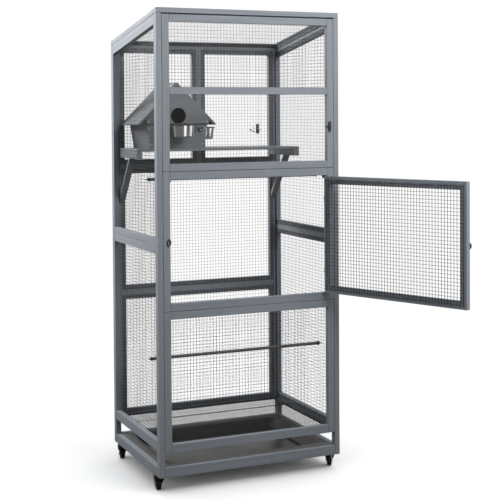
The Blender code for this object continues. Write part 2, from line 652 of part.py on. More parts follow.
# name, centre, top, radius at the mouth and foot, face the holder is fixed to
cups = (("front", NEST_X + 0.0030, 0.2427, 1.3175, 0.0440, 0.0390, NEST_Y0 - GAP),
        ("back", 0.3625, 0.4620, 1.3050, 0.0400, 0.0350, MESH_YB0 - GAP))
for tag, cx, cy, ztop, CUP_R, CUP_R2, y_plate in cups:
    zb = ztop - CUP_H
    profile = [(0.0, 0.0), (CUP_R2 - 0.003, 0.0), (CUP_R2, 0.003), (CUP_R, CUP_H - 0.0015),
               (CUP_R + 0.0030, CUP_H - 0.0015), (CUP_R + 0.0030, CUP_H),
               (CUP_R - CUP_WALL, CUP_H), (CUP_R2 - CUP_WALL, 0.0035),
               (CUP_R2 - 0.004, CUP_WALL), (0.0, CUP_WALL)]
    bm = bmesh.new()
    turned(bm, profile, (0, 0, 0), 32)
    ob = finish("cup_" + tag, bm, material("cup_steel_" + tag, STEEL, 0.15, 1.0), smooth=35)
    ob.location = (cx, cy, zb)
    # ring that the cup's rim rests on, with a plate behind it
    zt = ztop - 0.0015 - GAP
    bm = bmesh.new()
    turned(bm, [(CUP_R + 0.0004, zt - 0.0045), (CUP_R + 0.0040, zt - 0.0045),
                (CUP_R + 0.0040, zt), (CUP_R + 0.0004, zt)], (cx, cy, 0.0), 32)
    ring = finish("cup_holder_" + tag, bm, material("holder_black_" + tag, BLACK, 0.4), smooth=40)
    bm = bmesh.new()
    prism_x(bm, [(cy + CUP_R + 0.0012, zt - 0.0045), (y_plate - 0.0030, zt - 0.0045),
                 (y_plate - 0.0030, zt - 0.0300), (y_plate, zt - 0.0300),
                 (y_plate, zt), (cy + CUP_R + 0.0012, zt)], cx - 0.0110, cx + 0.0110)
    boolean(ring, hidden_tool("holder_plate_tool_" + tag, bm), 'UNION')

# ---------------------------------------------------------------- casters
SWX, SWY = 0.0160, 0.0550
casters = (("front_left", SWX, SWY, 82.0), ("front_right", W - SWX, SWY, 66.0),
           ("back_left", SWX, D - SWY, 82.0), ("back_right", W - SWX, D - SWY, 80.0))
for tag, cx, cy, heading in casters:
    swivel = axis_empty("caster_%s_swivel" % tag, cx, cy, 0.0, rot_z=heading)
    # drawn with the wheel trailing along +X of the swivel
    gap, cheek = 0.0200, 0.0024
    bm = bmesh.new()
    turned(bm, [(0.0, 0.0345), (0.0140, 0.0345), (0.0175, 0.0420), (0.0200, 0.0500), (0.0200, Z_BODY - GAP - 0.0020),
                (0.0185, Z_BODY - GAP), (0.0, Z_BODY - GAP)], (0, 0, 0), 24)
    fork = finish("caster_%s_fork" % tag, bm, material("fork_black_" + tag, BLACK, 0.3), swivel, smooth=40)
    # room in the skirt for the wheel
    bm = bmesh.new()
    add_box(bm, -0.0400, 0.0400, -gap / 2, gap / 2, 0.0300, 0.0470)
    t = hidden_tool("skirt_tool_" + tag, bm)
    t.parent = swivel
    boolean(fork, t, 'DIFFERENCE')
    bm = bmesh.new()
    r = 0.0085
    arc = [(CASTER_TRAIL + r * math.cos(math.radians(a)), WHEEL_R + r * math.sin(math.radians(a)))
           for a in (20, -20, -60, -100, -140, -180)]
    outline = [(-0.0130, 0.0500), (0.0190, 0.0500)] + arc
    for s in (-1, 1):
        y0, y1 = sorted((s * gap / 2, s * (gap / 2 + cheek)))
        prism_y(bm, outline, y0, y1)
    t = hidden_tool("cheek_tool_" + tag, bm)
    t.parent = swivel
    boolean(fork, t, 'UNION')
    bm = bmesh.new()
    add_cylinder(bm, (CASTER_TRAIL, 0, WHEEL_R), (0, 1, 0), 0.0030, gap + 0.0020, 12)
    t = hidden_tool("axle_tool_" + tag, bm)
    t.parent = swivel
    boolean(fork, t, 'UNION')
    axle = axis_empty("caster_%s_axle" % tag, CASTER_TRAIL, 0.0, WHEEL_R, swivel)
    w = WHEEL_W / 2
    bm = bmesh.new()
    turned(bm, [(0.0032, -w), (0.0150, -w), (0.0165, -w + 0.0015), (0.0200, -w + 0.0015), (WHEEL_R, -w + 0.0040),
                (WHEEL_R, w - 0.0040), (0.0200, w - 0.0015), (0.0165, w - 0.0015), (0.0150, w), (0.0032, w)],
           (0, 0, 0), 32, axis='Y')
    finish("caster_%s_wheel" % tag, bm, material("wheel_black_" + tag, (0.03, 0.03, 0.03), 0.5), axle, smooth=40)
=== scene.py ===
import math
import bpy
import bmesh
import numpy as np
from mathutils import Matrix, Vector


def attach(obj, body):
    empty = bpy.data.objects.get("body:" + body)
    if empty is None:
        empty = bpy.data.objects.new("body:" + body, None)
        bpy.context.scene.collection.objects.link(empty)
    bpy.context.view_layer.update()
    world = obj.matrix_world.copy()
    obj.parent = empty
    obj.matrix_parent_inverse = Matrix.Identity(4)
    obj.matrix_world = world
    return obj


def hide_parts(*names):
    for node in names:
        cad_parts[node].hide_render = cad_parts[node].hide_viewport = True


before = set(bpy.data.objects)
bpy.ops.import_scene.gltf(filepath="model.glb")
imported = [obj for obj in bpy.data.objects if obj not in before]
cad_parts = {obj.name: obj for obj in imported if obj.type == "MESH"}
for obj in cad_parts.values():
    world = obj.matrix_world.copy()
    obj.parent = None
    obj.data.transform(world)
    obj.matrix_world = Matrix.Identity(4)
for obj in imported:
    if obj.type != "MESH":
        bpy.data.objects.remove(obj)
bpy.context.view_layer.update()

# ------------------------------------------------------------------ sizes
# The same cage frame as the CAD: zero at the front left corner on the floor.
OX, OY = -0.46461, 0.02350
W, D, T, S = 0.7240, 0.5385, 0.0200, 0.0280
GAP = 0.0003
JOIN = 0.00050
Z_BODY, Z_BASE = 0.0600, 0.0950
Z_ROOF, ROOF_DROP, ROOF_T = 1.7330, 0.0886, 0.0190
Z_TOP_RAIL = 1.6838
Z_MID_HI, Z_MID_LO = 1.4521, 1.4261
Z_D1_HI, Z_D1_SEAM, Z_D1_LO = 1.1784, 1.1511, 1.1229
Z_D2_HI, Z_D2_SEAM, Z_D2_LO = 0.6810, 0.6523, 0.6244
Z_FB_HI, Z_FB_LO = 0.1775, 0.1465
Z_SM_HI, Z_SM_SEAM, Z_SM_LO = 0.9150, 0.8886, 0.8600
Z_SB_HI, Z_SB_LO = 0.1885, 0.1535
Z_BB_HI, Z_BB_LO = 0.1885, 0.1585
Z_BTOP_RAIL = 1.5991
XR, XL = W - T - S, T + S
HINGE_X, HINGE_Y = XR - 0.00125, -0.0034
DOOR_OPEN = 113.26
DOOR_X0, DOOR_X1 = XL + 0.0030, XR - 0.0025
DOOR_Z0, DOOR_Z1 = Z_D2_HI + 0.0022, Z_D1_LO - 0.0020
Z_SHELF, SHELF_T = 1.2145, 0.0105
NEST_X, NEST_Y0, NEST_Y1 = 0.1880, 0.3000, 0.5050
NEST_Z0 = Z_SHELF + SHELF_T + GAP
NEST_APEX, NEST_ROOF_T = 1.4770, 0.0090
YB = D - T
SLOPE = ROOF_DROP / D
PITCH = 0.0127
WIRE_R = 0.00050


def roof_under(y):
    return Z_ROOF - ROOF_T - SLOPE * y


CAGE = Matrix.Translation((OX, OY, 0.0))
_hinge = Matrix.Translation((HINGE_X, HINGE_Y, 0.0))
DOOR = CAGE @ _hinge @ Matrix.Rotation(math.radians(DOOR_OPEN), 4, 'Z') @ _hinge.inverted()


# ------------------------------------------------------------------ materials
def nodes_of(name):
    m = bpy.data.materials.new(name)
    m.use_nodes = True
    nt = m.node_tree
    return m, nt, nt.nodes["Principled BSDF"]


def link(nt, a, b):
    nt.links.new(a, b)


def n_attr(nt, name):
    n = nt.nodes.new("ShaderNodeAttribute")
    n.attribute_name = name
    return n


def n_map(nt, vec, scale, loc=(0, 0, 0)):
    n = nt.nodes.new("ShaderNodeMapping")
    n.inputs["Scale"].default_value = scale
    n.inputs["Location"].default_value = loc
    link(nt, vec, n.inputs["Vector"])
    return n.outputs["Vector"]


def n_noise(nt, vec, scale, detail=3.0, rough=0.55, distort=0.0):
    n = nt.nodes.new("ShaderNodeTexNoise")
    n.inputs["Scale"].default_value = scale
    n.inputs["Detail"].default_value = detail
    n.inputs["Roughness"].default_value = rough
    n.inputs["Distortion"].default_value = distort
    if vec is not None:
        link(nt, vec, n.inputs["Vector"])
    return n.outputs["Fac"]


def n_range(nt, val, a, b, c, d, clamp=True):
    n = nt.nodes.new("ShaderNodeMapRange")
    n.clamp = clamp
    for k, v in (("From Min", a), ("From Max", b), ("To Min", c), ("To Max", d)):
        n.inputs[k].default_value = v
    link(nt, val, n.inputs["Value"])
    return n.outputs["Result"]


def n_math(nt, op, a, b):
    n = nt.nodes.new("ShaderNodeMath")
    n.operation = op
    for i, v in enumerate((a, b)):
        if isinstance(v, (int, float)):
            n.inputs[i].default_value = v
        else:
            link(nt, v, n.inputs[i])
    return n.outputs[0]


def n_mix(nt, fac, a, b, mode='MIX'):
    n = nt.nodes.new("ShaderNodeMix")
    n.data_type = 'RGBA'
    n.blend_type = mode
    for key, v in ((0, fac), (6, a), (7, b)):
        if isinstance(v, (int, float)):
            n.inputs[key].default_value = v
        elif isinstance(v, tuple):
            n.inputs[key].default_value = (v[0], v[1], v[2], 1.0)
        else:
            link(nt, v, n.inputs[key])
    return n.outputs[2]


def n_bump(nt, height, strength, distance, normal=None):
    n = nt.nodes.new("ShaderNodeBump")
    n.inputs["Strength"].default_value = strength
    n.inputs["Distance"].default_value = distance
    link(nt, height, n.inputs["Height"])
    if normal is not None:
        link(nt, normal, n.inputs["Normal"])
    return n.outputs["Normal"]


def painted_timber(name, light, dark, rough=(0.46, 0.66)):
    """Thin slate-grey paint over softwood: the grain shows through as fine
    streaks and pores, edges are rubbed a little lighter, and the strip under
    a wire panel is darkened as painted shade for the wire's shadow and the dim inner faces."""
    m, nt, b = nodes_of(name)
    g = n_attr(nt, "grain").outputs["Vector"]
    streak = n_noise(nt, n_map(nt, g, (3.0, 120.0, 120.0)), 1.0, 5.0, 0.62, 0.35)
    broad = n_noise(nt, n_map(nt, g, (1.1, 26.0, 26.0)), 1.0, 3.0, 0.5, 0.6)
    pore = n_noise(nt, n_map(nt, g, (14.0, 620.0, 620.0)), 1.0, 2.0, 0.7)
    blotch = n_noise(nt, n_map(nt, g, (9.0, 14.0, 14.0)), 1.0, 4.0, 0.6)
    tone = n_math(nt, 'ADD', n_range(nt, streak, 0.30, 0.70, 0.08, 0.68),
                  n_range(nt, broad, 0.30, 0.70, 0.0, 0.32))
    col = n_mix(nt, tone, dark, light)
    col = n_mix(nt, n_range(nt, pore, 0.60, 0.72, 0.0, 0.45), col,
                (dark[0] * 0.62, dark[1] * 0.62, dark[2] * 0.62))
    col = n_mix(nt, n_range(nt, blotch, 0.58, 0.80, 0.0, 0.28), col,
                (light[0] * 1.16, light[1] * 1.15, light[2] * 1.13))
    wear = n_math(nt, 'MULTIPLY', n_attr(nt, "wear").outputs["Fac"],
                  n_range(nt, blotch, 0.35, 0.65, 0.10, 0.75))
    col = n_mix(nt, wear, col, (light[0] * 1.40, light[1] * 1.38, light[2] * 1.34))
    # painted shade: the inner-face strip under a wire panel is mixed towards near black, standing in for the wire's
    # shadow and the dim inside of the cage
    painted_shade = n_math(nt, 'MULTIPLY', n_attr(nt, "painted_shade").outputs["Fac"],
                   n_range(nt, blotch, 0.30, 0.70, 0.30, 0.48))
    col = n_mix(nt, painted_shade, col, (0.012, 0.013, 0.015))
    link(nt, col, b.inputs["Base Color"])
    link(nt, n_range(nt, streak, 0.3, 0.7, rough[1], rough[0]), b.inputs["Roughness"])
    b.inputs["Specular IOR Level"].default_value = 0.38
    fine = n_bump(nt, streak, 0.35, 0.0006)
    link(nt, n_bump(nt, pore, 0.22, 0.0003, fine), b.inputs["Normal"])
    return m


def coated(name, rgb, rough, bump=0.15, scale=900.0, spec=0.5, metal=0.0, speck=0.0):
    """Black powder coat or moulded plastic: fine orange peel and dust."""
    m, nt, b = nodes_of(name)
    tc = nt.nodes.new("ShaderNodeTexCoord").outputs["Object"]
    peel = n_noise(nt, tc, scale, 2.0, 0.5)
    dust = n_noise(nt, tc, 38.0, 4.0, 0.6)
    col = n_mix(nt, n_range(nt, dust, 0.42, 0.75, 0.0, 1.0), rgb,
                (rgb[0] * 1.7 + 0.006, rgb[1] * 1.7 + 0.006, rgb[2] * 1.7 + 0.007))
    if speck:
        dots = n_noise(nt, tc, 300.0, 1.0, 0.5)
        col = n_mix(nt, n_range(nt, dots, 0.66, 0.74, 0.0, speck), col, (0.16, 0.15, 0.14))
    link(nt, col, b.inputs["Base Color"])
    link(nt, n_range(nt, dust, 0.3, 0.7, rough - 0.06, rough + 0.12), b.inputs["Roughness"])
    b.inputs["Metallic"].default_value = metal
    b.inputs["Specular IOR Level"].default_value = spec
    link(nt, n_bump(nt, peel, bump, 0.0002), b.inputs["Normal"])
    return m


def sheet_steel(name, rgb, rough, brush_axis, wavy=0.0, dull=0.0):
    """Bright rolled or spun steel with fine brush lines and faint smears."""
    m, nt, b = nodes_of(name)
    tc = nt.nodes.new("ShaderNodeTexCoord").outputs["Object"]
    sc = [900.0, 900.0, 900.0]
    sc[brush_axis] = 6.0
    brush = n_noise(nt, n_map(nt, tc, tuple(sc)), 1.0, 3.0, 0.6)
    smear = n_noise(nt, tc, 9.0, 5.0, 0.62)
    col = n_mix(nt, n_range(nt, smear, 0.35, 0.70, 0.0, 1.0), rgb,
                (rgb[0] * 0.84, rgb[1] * 0.85, rgb[2] * 0.87))
    link(nt, col, b.inputs["Base Color"])
    b.inputs["Metallic"].default_value = 1.0
    link(nt, n_math(nt, 'ADD', n_range(nt, smear, 0.3, 0.7, rough, rough + 0.10),
                    n_range(nt, brush, 0.3, 0.7, 0.0, 0.06 + dull)), b.inputs["Roughness"])
    nrm = n_bump(nt, brush, 0.03, 0.0001)
    if wavy:
        wave = n_noise(nt, tc, 3.2, 2.0, 0.4)
        nrm = n_bump(nt, wave, wavy, 0.004, nrm)
    link(nt, nrm, b.inputs["Normal"])
    return m


PAINT_L, PAINT_D = (0.262, 0.289, 0.322), (0.190, 0.212, 0.240)
M_PAINT = painted_timber("paint_timber", PAINT_L, PAINT_D)
M_NEST = painted_timber("paint_nest", (0.186, 0.202, 0.218), (0.142, 0.155, 0.168))
# near-black paint for the nest box's inside: painted shade for the dark hollow seen through the hole
M_NEST_SHADE = painted_timber("paint_nest_inside_shade", (0.052, 0.052, 0.052), (0.034, 0.034, 0.035))
# the shelf paint is a darker copy of the frame paint: painted shade for the shelf in the dim inside of the cage
M_SHELF = painted_timber("paint_shelf", (0.215, 0.230, 0.245), (0.165, 0.178, 0.192), (0.30, 0.46))
M_DOWEL = painted_timber("paint_dowel", (0.125, 0.133, 0.142), (0.088, 0.094, 0.101), (0.35, 0.5))
M_WIRE = coated("wire_coating", (0.013, 0.013, 0.014), 0.42, 0.10, 700.0)
M_GRATE = coated("grate_coating", (0.005, 0.005, 0.005), 0.80, 0.02, 700.0)
M_KNOB = coated("black_knob", (0.006, 0.006, 0.006), 0.62, 0.05, 1100.0)
M_BLACK = coated("black_hardware", (0.012, 0.012, 0.013), 0.34, 0.20, 1100.0)
M_FORK = coated("caster_pressing", (0.016, 0.016, 0.017), 0.26, 0.12, 900.0, metal=0.0, spec=0.6)
M_CHEEK = sheet_steel("caster_cheek", (0.62, 0.62, 0.62), 0.16, 2)
M_TREAD = coated("wheel_tread", (0.020, 0.020, 0.021), 0.48, 0.25, 500.0, spec=0.4, speck=0.25)
M_HUB = coated("wheel_hub", (0.030, 0.030, 0.031), 0.30, 0.10, 500.0, spec=0.5)
M_DARKSTEEL = coated("hinge_finish", (0.045, 0.045, 0.048), 0.32, 0.12, 900.0, metal=0.85)
M_ZINC = sheet_steel("zinc_fastener", (0.58, 0.59, 0.60), 0.30, 2)
# the tray sheet is near black: painted shade and painted dark reflection for the dim floor of the cage; the rim is a
# dark matt copy of the same steel
M_TRAY = sheet_steel("tray_sheet", (0.074, 0.072, 0.069), 0.24, 0, wavy=0.15)
M_TRAY_RIM = coated("tray_rim", (0.085, 0.084, 0.080), 0.55, 0.12, 700.0, spec=0.3)
M_CUP = sheet_steel("cup_spun", (0.62, 0.61, 0.59), 0.055, 2)


def acrylic(name):
    """A thin clear sheet: it lets light straight through and mirrors a little
    of it, more at a slant, with faint wiping haze."""
    m, nt, b = nodes_of(name)
    tc = nt.nodes.new("ShaderNodeTexCoord").outputs["Object"]
    haze = n_noise(nt, tc, 14.0, 4.0, 0.6)
    b.inputs["Base Color"].default_value = (0.97, 0.985, 0.98, 1.0)
    b.inputs["Metallic"].default_value = 1.0
    link(nt, n_range(nt, haze, 0.4, 0.75, 0.02, 0.06), b.inputs["Roughness"])
    lw = nt.nodes.new("ShaderNodeLayerWeight")
    lw.inputs["Blend"].default_value = 0.5
    slant = n_math(nt, 'POWER', lw.outputs["Facing"], 5.0)
    link(nt, n_math(nt, 'ADD', n_math(nt, 'MULTIPLY', slant, 0.85),
                    n_range(nt, haze, 0.4, 0.75, 0.040, 0.052)), b.inputs["Alpha"])
    return m


M_CLEAR = acrylic("clear_acrylic")


# ------------------------------------------------------------------ building
class Builder:
    """Collects many small solids into one mesh, with the grain direction, the
    rubbed edges and the painted-shade strips kept as point and face values."""

    def __init__(self, *mats):
        self.mats = mats
        self.v, self.f, self.m, self.s = [], [], [], []
        self.g, self.w, self.st = [], [], []

    def take(self, bm, mat=0, grain=None, wear=None, painted_shade=None, flat=None, warp=None):
        base = len(self.v)
        bm.verts.index_update()
        for v in bm.verts:
            co = v.co
            self.g.append(grain(co) if grain else (co.x, co.y, co.z))
            self.w.append(wear(co) if wear else 0.0)
        for v in bm.verts:
            self.v.append(tuple(warp(v.co)) if warp else tuple(v.co))
        for f in bm.faces:
            self.f.append(tuple(base + v.index for v in f.verts))
            self.m.append(mat)
            self.s.append(not (flat(f) if flat else False))
            self.st.append(painted_shade(f) if painted_shade else 0.0)
        bm.free()

    def arrays(self, verts, faces, mat=0, smooth=True):
        base = len(self.v)
        self.v.extend(map(tuple, verts))
        self.g.extend(map(tuple, verts))
        self.w.extend([0.0] * len(verts))
        self.f.extend(tuple(base + i for i in f) for f in faces)
        self.m.extend([mat] * len(faces))
        self.s.extend([smooth] * len(faces))
        self.st.extend([0.0] * len(faces))

    def done(self, name, body, replaces=(), matrix=CAGE):
        me = bpy.data.meshes.new(name)
        me.from_pydata(self.v, [], self.f)
        me.polygons.foreach_set("material_index", self.m)
        me.polygons.foreach_set("use_smooth", self.s)
        a = me.attributes.new("grain", 'FLOAT_VECTOR', 'POINT')
        a.data.foreach_set("vector", np.array(self.g, np.float32).ravel())
        a = me.attributes.new("wear", 'FLOAT', 'POINT')
        a.data.foreach_set("value", np.array(self.w, np.float32))
        a = me.attributes.new("painted_shade", 'FLOAT', 'FACE')
        a.data.foreach_set("value", np.array(self.st, np.float32))
        for m in self.mats:
            me.materials.append(m)
        me.transform(matrix)
        me.update()
        ob = bpy.data.objects.new(name, me)
        bpy.context.scene.collection.objects.link(ob)
        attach(ob, body)
        if replaces:
            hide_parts(*replaces)
        return ob


AX = {"x": 0, "y": 1, "z": 2}
_seed = [0]


def next_seed():
    _seed[0] += 1
    return _seed[0]


def solid(B, bm, r, along, mat=0, seg=2, painted_shade=None, warp=None, sharp=20.0):
    """Round every edge of a plain solid by r and add it, with the grain
    running along an axis."""
    bmesh.ops.recalc_face_normals(bm, faces=bm.faces)
    planes = [(f.normal.copy(), f.normal.dot(f.verts[0].co)) for f in bm.faces]
    if r > 0:
        edges = [e for e in bm.edges if len(e.link_faces) == 2
                 and e.calc_face_angle(0.0) > math.radians(sharp)]
        bmesh.ops.bevel(bm, geom=edges, offset=r, offset_type='OFFSET', segments=seg,
                        profile=0.5, affect='EDGES', clamp_overlap=True)
    if painted_shade:
        # cut the faces along the edge of the wire panel that lies on them, where the painted shade ends
        for co, no in painted_shade["cuts"]:
            bmesh.ops.bisect_plane(bm, geom=list(bm.verts) + list(bm.edges) + list(bm.faces),
                                   plane_co=co, plane_no=no, dist=1e-6)
    bm.normal_update()
    k = AX[along] if isinstance(along, str) else None
    sd = next_seed()
    o1, o2, o3 = sd * 2.713, (sd * 0.618) % 1.0, (sd * 0.377) % 1.0
    if k is not None:
        a, b = (k + 1) % 3, (k + 2) % 3
        grain = lambda c: (c[k] + o1, c[a] + o2, c[b] + o3)
    else:
        u = Vector(along).normalized()
        p = u.orthogonal().normalized()
        q = u.cross(p)
        grain = lambda c: (c.dot(u) + o1, c.dot(p) + o2, c.dot(q) + o3)

    def wear(c):
        return 0.0 if any(abs(n.dot(c) - d) < 2e-5 for n, d in planes) else 1.0

    def flat(f):
        return any(n.dot(f.normal) > 0.9995 for n, d in planes)

    mark = None
    if painted_shade:
        def mark(f):
            if f.normal.dot(painted_shade["normal"]) < 0.98:
                return 0.0
            c = f.calc_center_median()
            return painted_shade["level"] if painted_shade["inside"](c) else 0.0
    B.take(bm, mat, grain, wear if r > 0 else None, mark, flat, warp)


def box_bm(lo, hi):
    bm = bmesh.new()
    r = bmesh.ops.create_cube(bm, size=1.0)
    for v in r["verts"]:
        v.co = Vector([lo[i] if v.co[i] < 0 else hi[i] for i in range(3)])
    return bm


def bar(B, x0, x1, y0, y1, z0, z1, along, r=0.0011, mat=0, painted_shade=None, warp=None, seg=2):
    solid(B, box_bm((x0, y0, z0), (x1, y1, z1)), r, along, mat, seg, painted_shade, warp)


def prism_bm(pts, axis, a0, a1):
    """Extrude a 2-D outline: (y, z) along x, (x, z) along y or (x, y) along z."""
    bm = bmesh.new()
    mk = {"x": lambda p, a: (a, p[0], p[1]), "y": lambda p, a: (p[0], a, p[1]),
          "z": lambda p, a: (p[0], p[1], a)}[axis]
    lo = [bm.verts.new(mk(p, a0)) for p in pts]
    hi = [bm.verts.new(mk(p, a1)) for p in pts]
    bm.faces.new(lo)
    bm.faces.new(list(reversed(hi)))
    n = len(pts)
    for i in range(n):
        bm.faces.new((lo[i], lo[(i + 1) % n], hi[(i + 1) % n], hi[i]))
    return bm


def lathe(B, profile, centre, axis="z", seg=24, mat=0, hard=38.0, warp=None):
    """Spin an open or closed (radius, height) outline; zero radii close it."""
    bm = bmesh.new()
    c = Vector(centre)
    k = AX[axis]
    a, b = (k + 1) % 3, (k + 2) % 3
    rings = []
    for r, h in profile:
        ring = []
        if r < 1e-9:
            p = c.copy()
            p[k] += h
            ring = [bm.verts.new(p)]
        else:
            for i in range(seg):
                t = 2 * math.pi * i / seg
                p = c.copy()
                p[k] += h
                p[a] += r * math.cos(t)
                p[b] += r * math.sin(t)
                ring.append(bm.verts.new(p))
        rings.append(ring)
    for r0, r1 in zip(rings, rings[1:]):
        for i in range(seg):
            j = (i + 1) % seg
            if len(r0) == 1 and len(r1) == 1:
                break
            if len(r0) == 1:
                bm.faces.new((r0[0], r1[j], r1[i]))
            elif len(r1) == 1:
                bm.faces.new((r0[i], r0[j], r1[0]))
            else:
                bm.faces.new((r0[i], r0[j], r1[j], r1[i]))
    add_split(B, bm, mat, hard, warp)


def add_split(B, bm, mat=0, hard=38.0, warp=None):
    """Add a round piece: its hard edges are split, the rest shades smooth."""
    bmesh.ops.recalc_face_normals(bm, faces=bm.faces)
    rule = flat_rule(bm, hard)
    B.take(bm, mat, None, None, None, rule, warp)


def flat_rule(bm, hard):
    """Split the hard edges; a face left without a soft neighbour, or one
    with more than four corners, is shaded flat."""
    lim = math.radians(hard)
    edges = [e for e in bm.edges if len(e.link_faces) == 2 and e.calc_face_angle(0.0) > lim]
    bmesh.ops.split_edges(bm, edges=edges)
    bm.faces.index_update()
    ids = {f.index for f in bm.faces
           if len(f.verts) > 4 or not any(len(e.link_faces) == 2 for e in f.edges)}
    return lambda f: f.index in ids


def tube(B, pts, r, sides=8, mat=0, closed=False, warp=None):
    """A round rod along a path."""
    P = [Vector(p) for p in pts]
    n = len(P)
    verts, faces = [], []
    up = None
    for i in range(n):
        if closed:
            d = (P[(i + 1) % n] - P[i - 1]).normalized()
        else:
            d = (P[min(i + 1, n - 1)] - P[max(i - 1, 0)]).normalized()
        if up is None:
            up = d.orthogonal().normalized()
        up = (up - d * up.dot(d)).normalized()
        side = d.cross(up)
        for k in range(sides):
            t = 2 * math.pi * k / sides
            verts.append(P[i] + (up * math.cos(t) + side * math.sin(t)) * r)
    m = n if closed else n - 1
    for i in range(m):
        j = (i + 1) % n
        for k in range(sides):
            l = (k + 1) % sides
            faces.append((i * sides + k, i * sides + l, j * sides + l, j * sides + k))
    if not closed:
        faces.append(tuple(reversed(range(sides))))
        faces.append(tuple((n - 1) * sides + k for k in range(sides)))
    if warp:
        verts = [warp(v) for v in verts]
    B.arrays(verts, faces, mat)


def screw(B, pos, normal, r=0.0032, mat=0):
    """A small countersunk head with a driver recess."""
    bm = bmesh.new()
    prof = [(0.0, -0.0009), (r * 0.34, -0.0009), (r * 0.38, 0.00035), (r * 0.80, 0.00030), (r, 0.0), (r * 0.9, -0.0008), (0.0, -0.0012)]
    seg = 12
    rings = []
    for rr, h in prof:
        if rr == 0.0:
            rings.append([bm.verts.new((0, 0, h))])
        else:
            rings.append([bm.verts.new((rr * math.cos(2 * math.pi * i / seg), rr * math.sin(2 * math.pi * i / seg), h)) for i in range(seg)])
    for a, b in zip(rings, rings[1:]):
        for i in range(seg):
            j = (i + 1) % seg
            if len(a) == 1:
                bm.faces.new((a[0], b[i], b[j]))
            elif len(b) == 1:
                bm.faces.new((a[i], b[0], a[j]))
            else:
                bm.faces.new((a[i], b[i], b[j], a[j]))
    rot = Vector((0, 0, 1)).rotation_difference(Vector(normal)).to_matrix().to_4x4()
    bmesh.ops.transform(bm, matrix=Matrix.Translation(Vector(pos)) @ rot, verts=bm.verts)
    bmesh.ops.recalc_face_normals(bm, faces=bm.faces)
    B.take(bm, mat, None, None, None, flat_rule(bm, 40.0))


# ------------------------------------------------------------------ wire panels
rng = np.random.RandomState(7)


def wire_panel(B, origin, u, v, n, lu, lv, pitch=PITCH, r=WIRE_R, mat=0, bow=0.00030, sides=6, segs=6,
               edge=0.002, height=None, r_across=None):
    """A welded grid: wires along v lie on the origin plane, wires along u on
    top of them, both slightly bowed. height(s) limits the wires along v."""
    o, u, v, n = (np.array(a, float) for a in (origin, u, v, n))

    r2 = r_across or r

    def sweep(a, b, side, lift, r=r):
        ph = rng.uniform(0, 6.28, 2)
        am = rng.uniform(-1, 1, 2) * bow
        t = np.linspace(0, 1, segs + 1)
        P = a[None] + (b - a)[None] * t[:, None]
        off = am[0] * np.sin(3.1 * t + ph[0]) + am[1] * np.sin(9.0 * t + ph[1])
        P = P + side[None] * off[:, None] + n[None] * lift
        d = (b - a) / np.linalg.norm(b - a)
        ang = np.arange(sides) * 2 * math.pi / sides + math.pi / sides
        ring = (side[None] * np.cos(ang)[:, None] + n[None] * np.sin(ang)[:, None]) * r
        verts = (P[:, None, :] + ring[None]).reshape(-1, 3)
        faces = []
        for i in range(segs):
            for k in range(sides):
                l = (k + 1) % sides
                faces.append((i * sides + k, i * sides + l, (i + 1) * sides + l, (i + 1) * sides + k))
        faces.append(tuple(reversed(range(sides))))
        faces.append(tuple(segs * sides + k for k in range(sides)))
        if np.dot(np.cross(d, side), n) < 0:
            faces = [tuple(reversed(f)) for f in faces]
        B.arrays(verts, faces, mat)

    cu = int((lu - 2 * edge) / pitch)
    cv = int((lv - 2 * edge) / pitch)
    su = (lu - cu * pitch) / 2
    sv = (lv - cv * pitch) / 2
    for i in range(cu + 1):
        s = su + i * pitch
        top = height(s) if height else lv
        cut = rng.uniform(-0.0006, 0.0006)
        sweep(o + u * s, o + u * s + v * (top + min(cut, 0.0)), u, r)
    for j in range(cv + 1):
        s = sv + j * pitch
        if height:
            # stop each wire where the sloping edge cuts it
            xs = [q for q in np.linspace(0, lu, 200) if height(q) >= s + 0.001]
            if len(xs) < 20:
                continue
            a, b = xs[0], xs[-1]
        else:
            a, b = 0.0, lu
        sweep(o + v * s + u * a, o + v * s + u * b, v, r * 1.8 + r2, r2)


def staples(B, pts, along, normal, mat=1):
    """Flat-crown staples that hold the wire to the timber."""
    a, n = Vector(along), Vector(normal)
    for p in pts:
        c = Vector(p)
        tube(B, [c - a * 0.0050 - n * 0.0012, c - a * 0.0050 + n * 0.0004, c - a * 0.0042 + n * 0.0009,
                 c + a * 0.0042 + n * 0.0009, c + a * 0.0050 + n * 0.0004, c + a * 0.0050 - n * 0.0012], 0.00045, 5, mat)


# ------------------------------------------------------------------ timber
LAP = 0.0180      # how far the wire laps the inner face of a frame


def rect_painted_shade(axis, side, a0, a1, b0, b1, level=1.0):
    """The part of an inner face that a wire panel covers, which the paint darkens
    as painted shade. axis is the face's normal axis, side its sign; a and b are
    the other two axes' limits."""
    k = AX[axis]
    i, j = [q for q in (0, 1, 2) if q != k]
    n = Vector((0, 0, 0))
    n[k] = side
    cuts = []
    for idx, val in ((i, a0), (i, a1), (j, b0), (j, b1)):
        co, no = Vector((0, 0, 0)), Vector((0, 0, 0))
        co[idx] = val
        no[idx] = 1.0
        cuts.append((co, no))
    return {"normal": n, "cuts": cuts, "level": level,
            "inside": lambda c: a0 < c[i] < a1 and b0 < c[j] < b1}


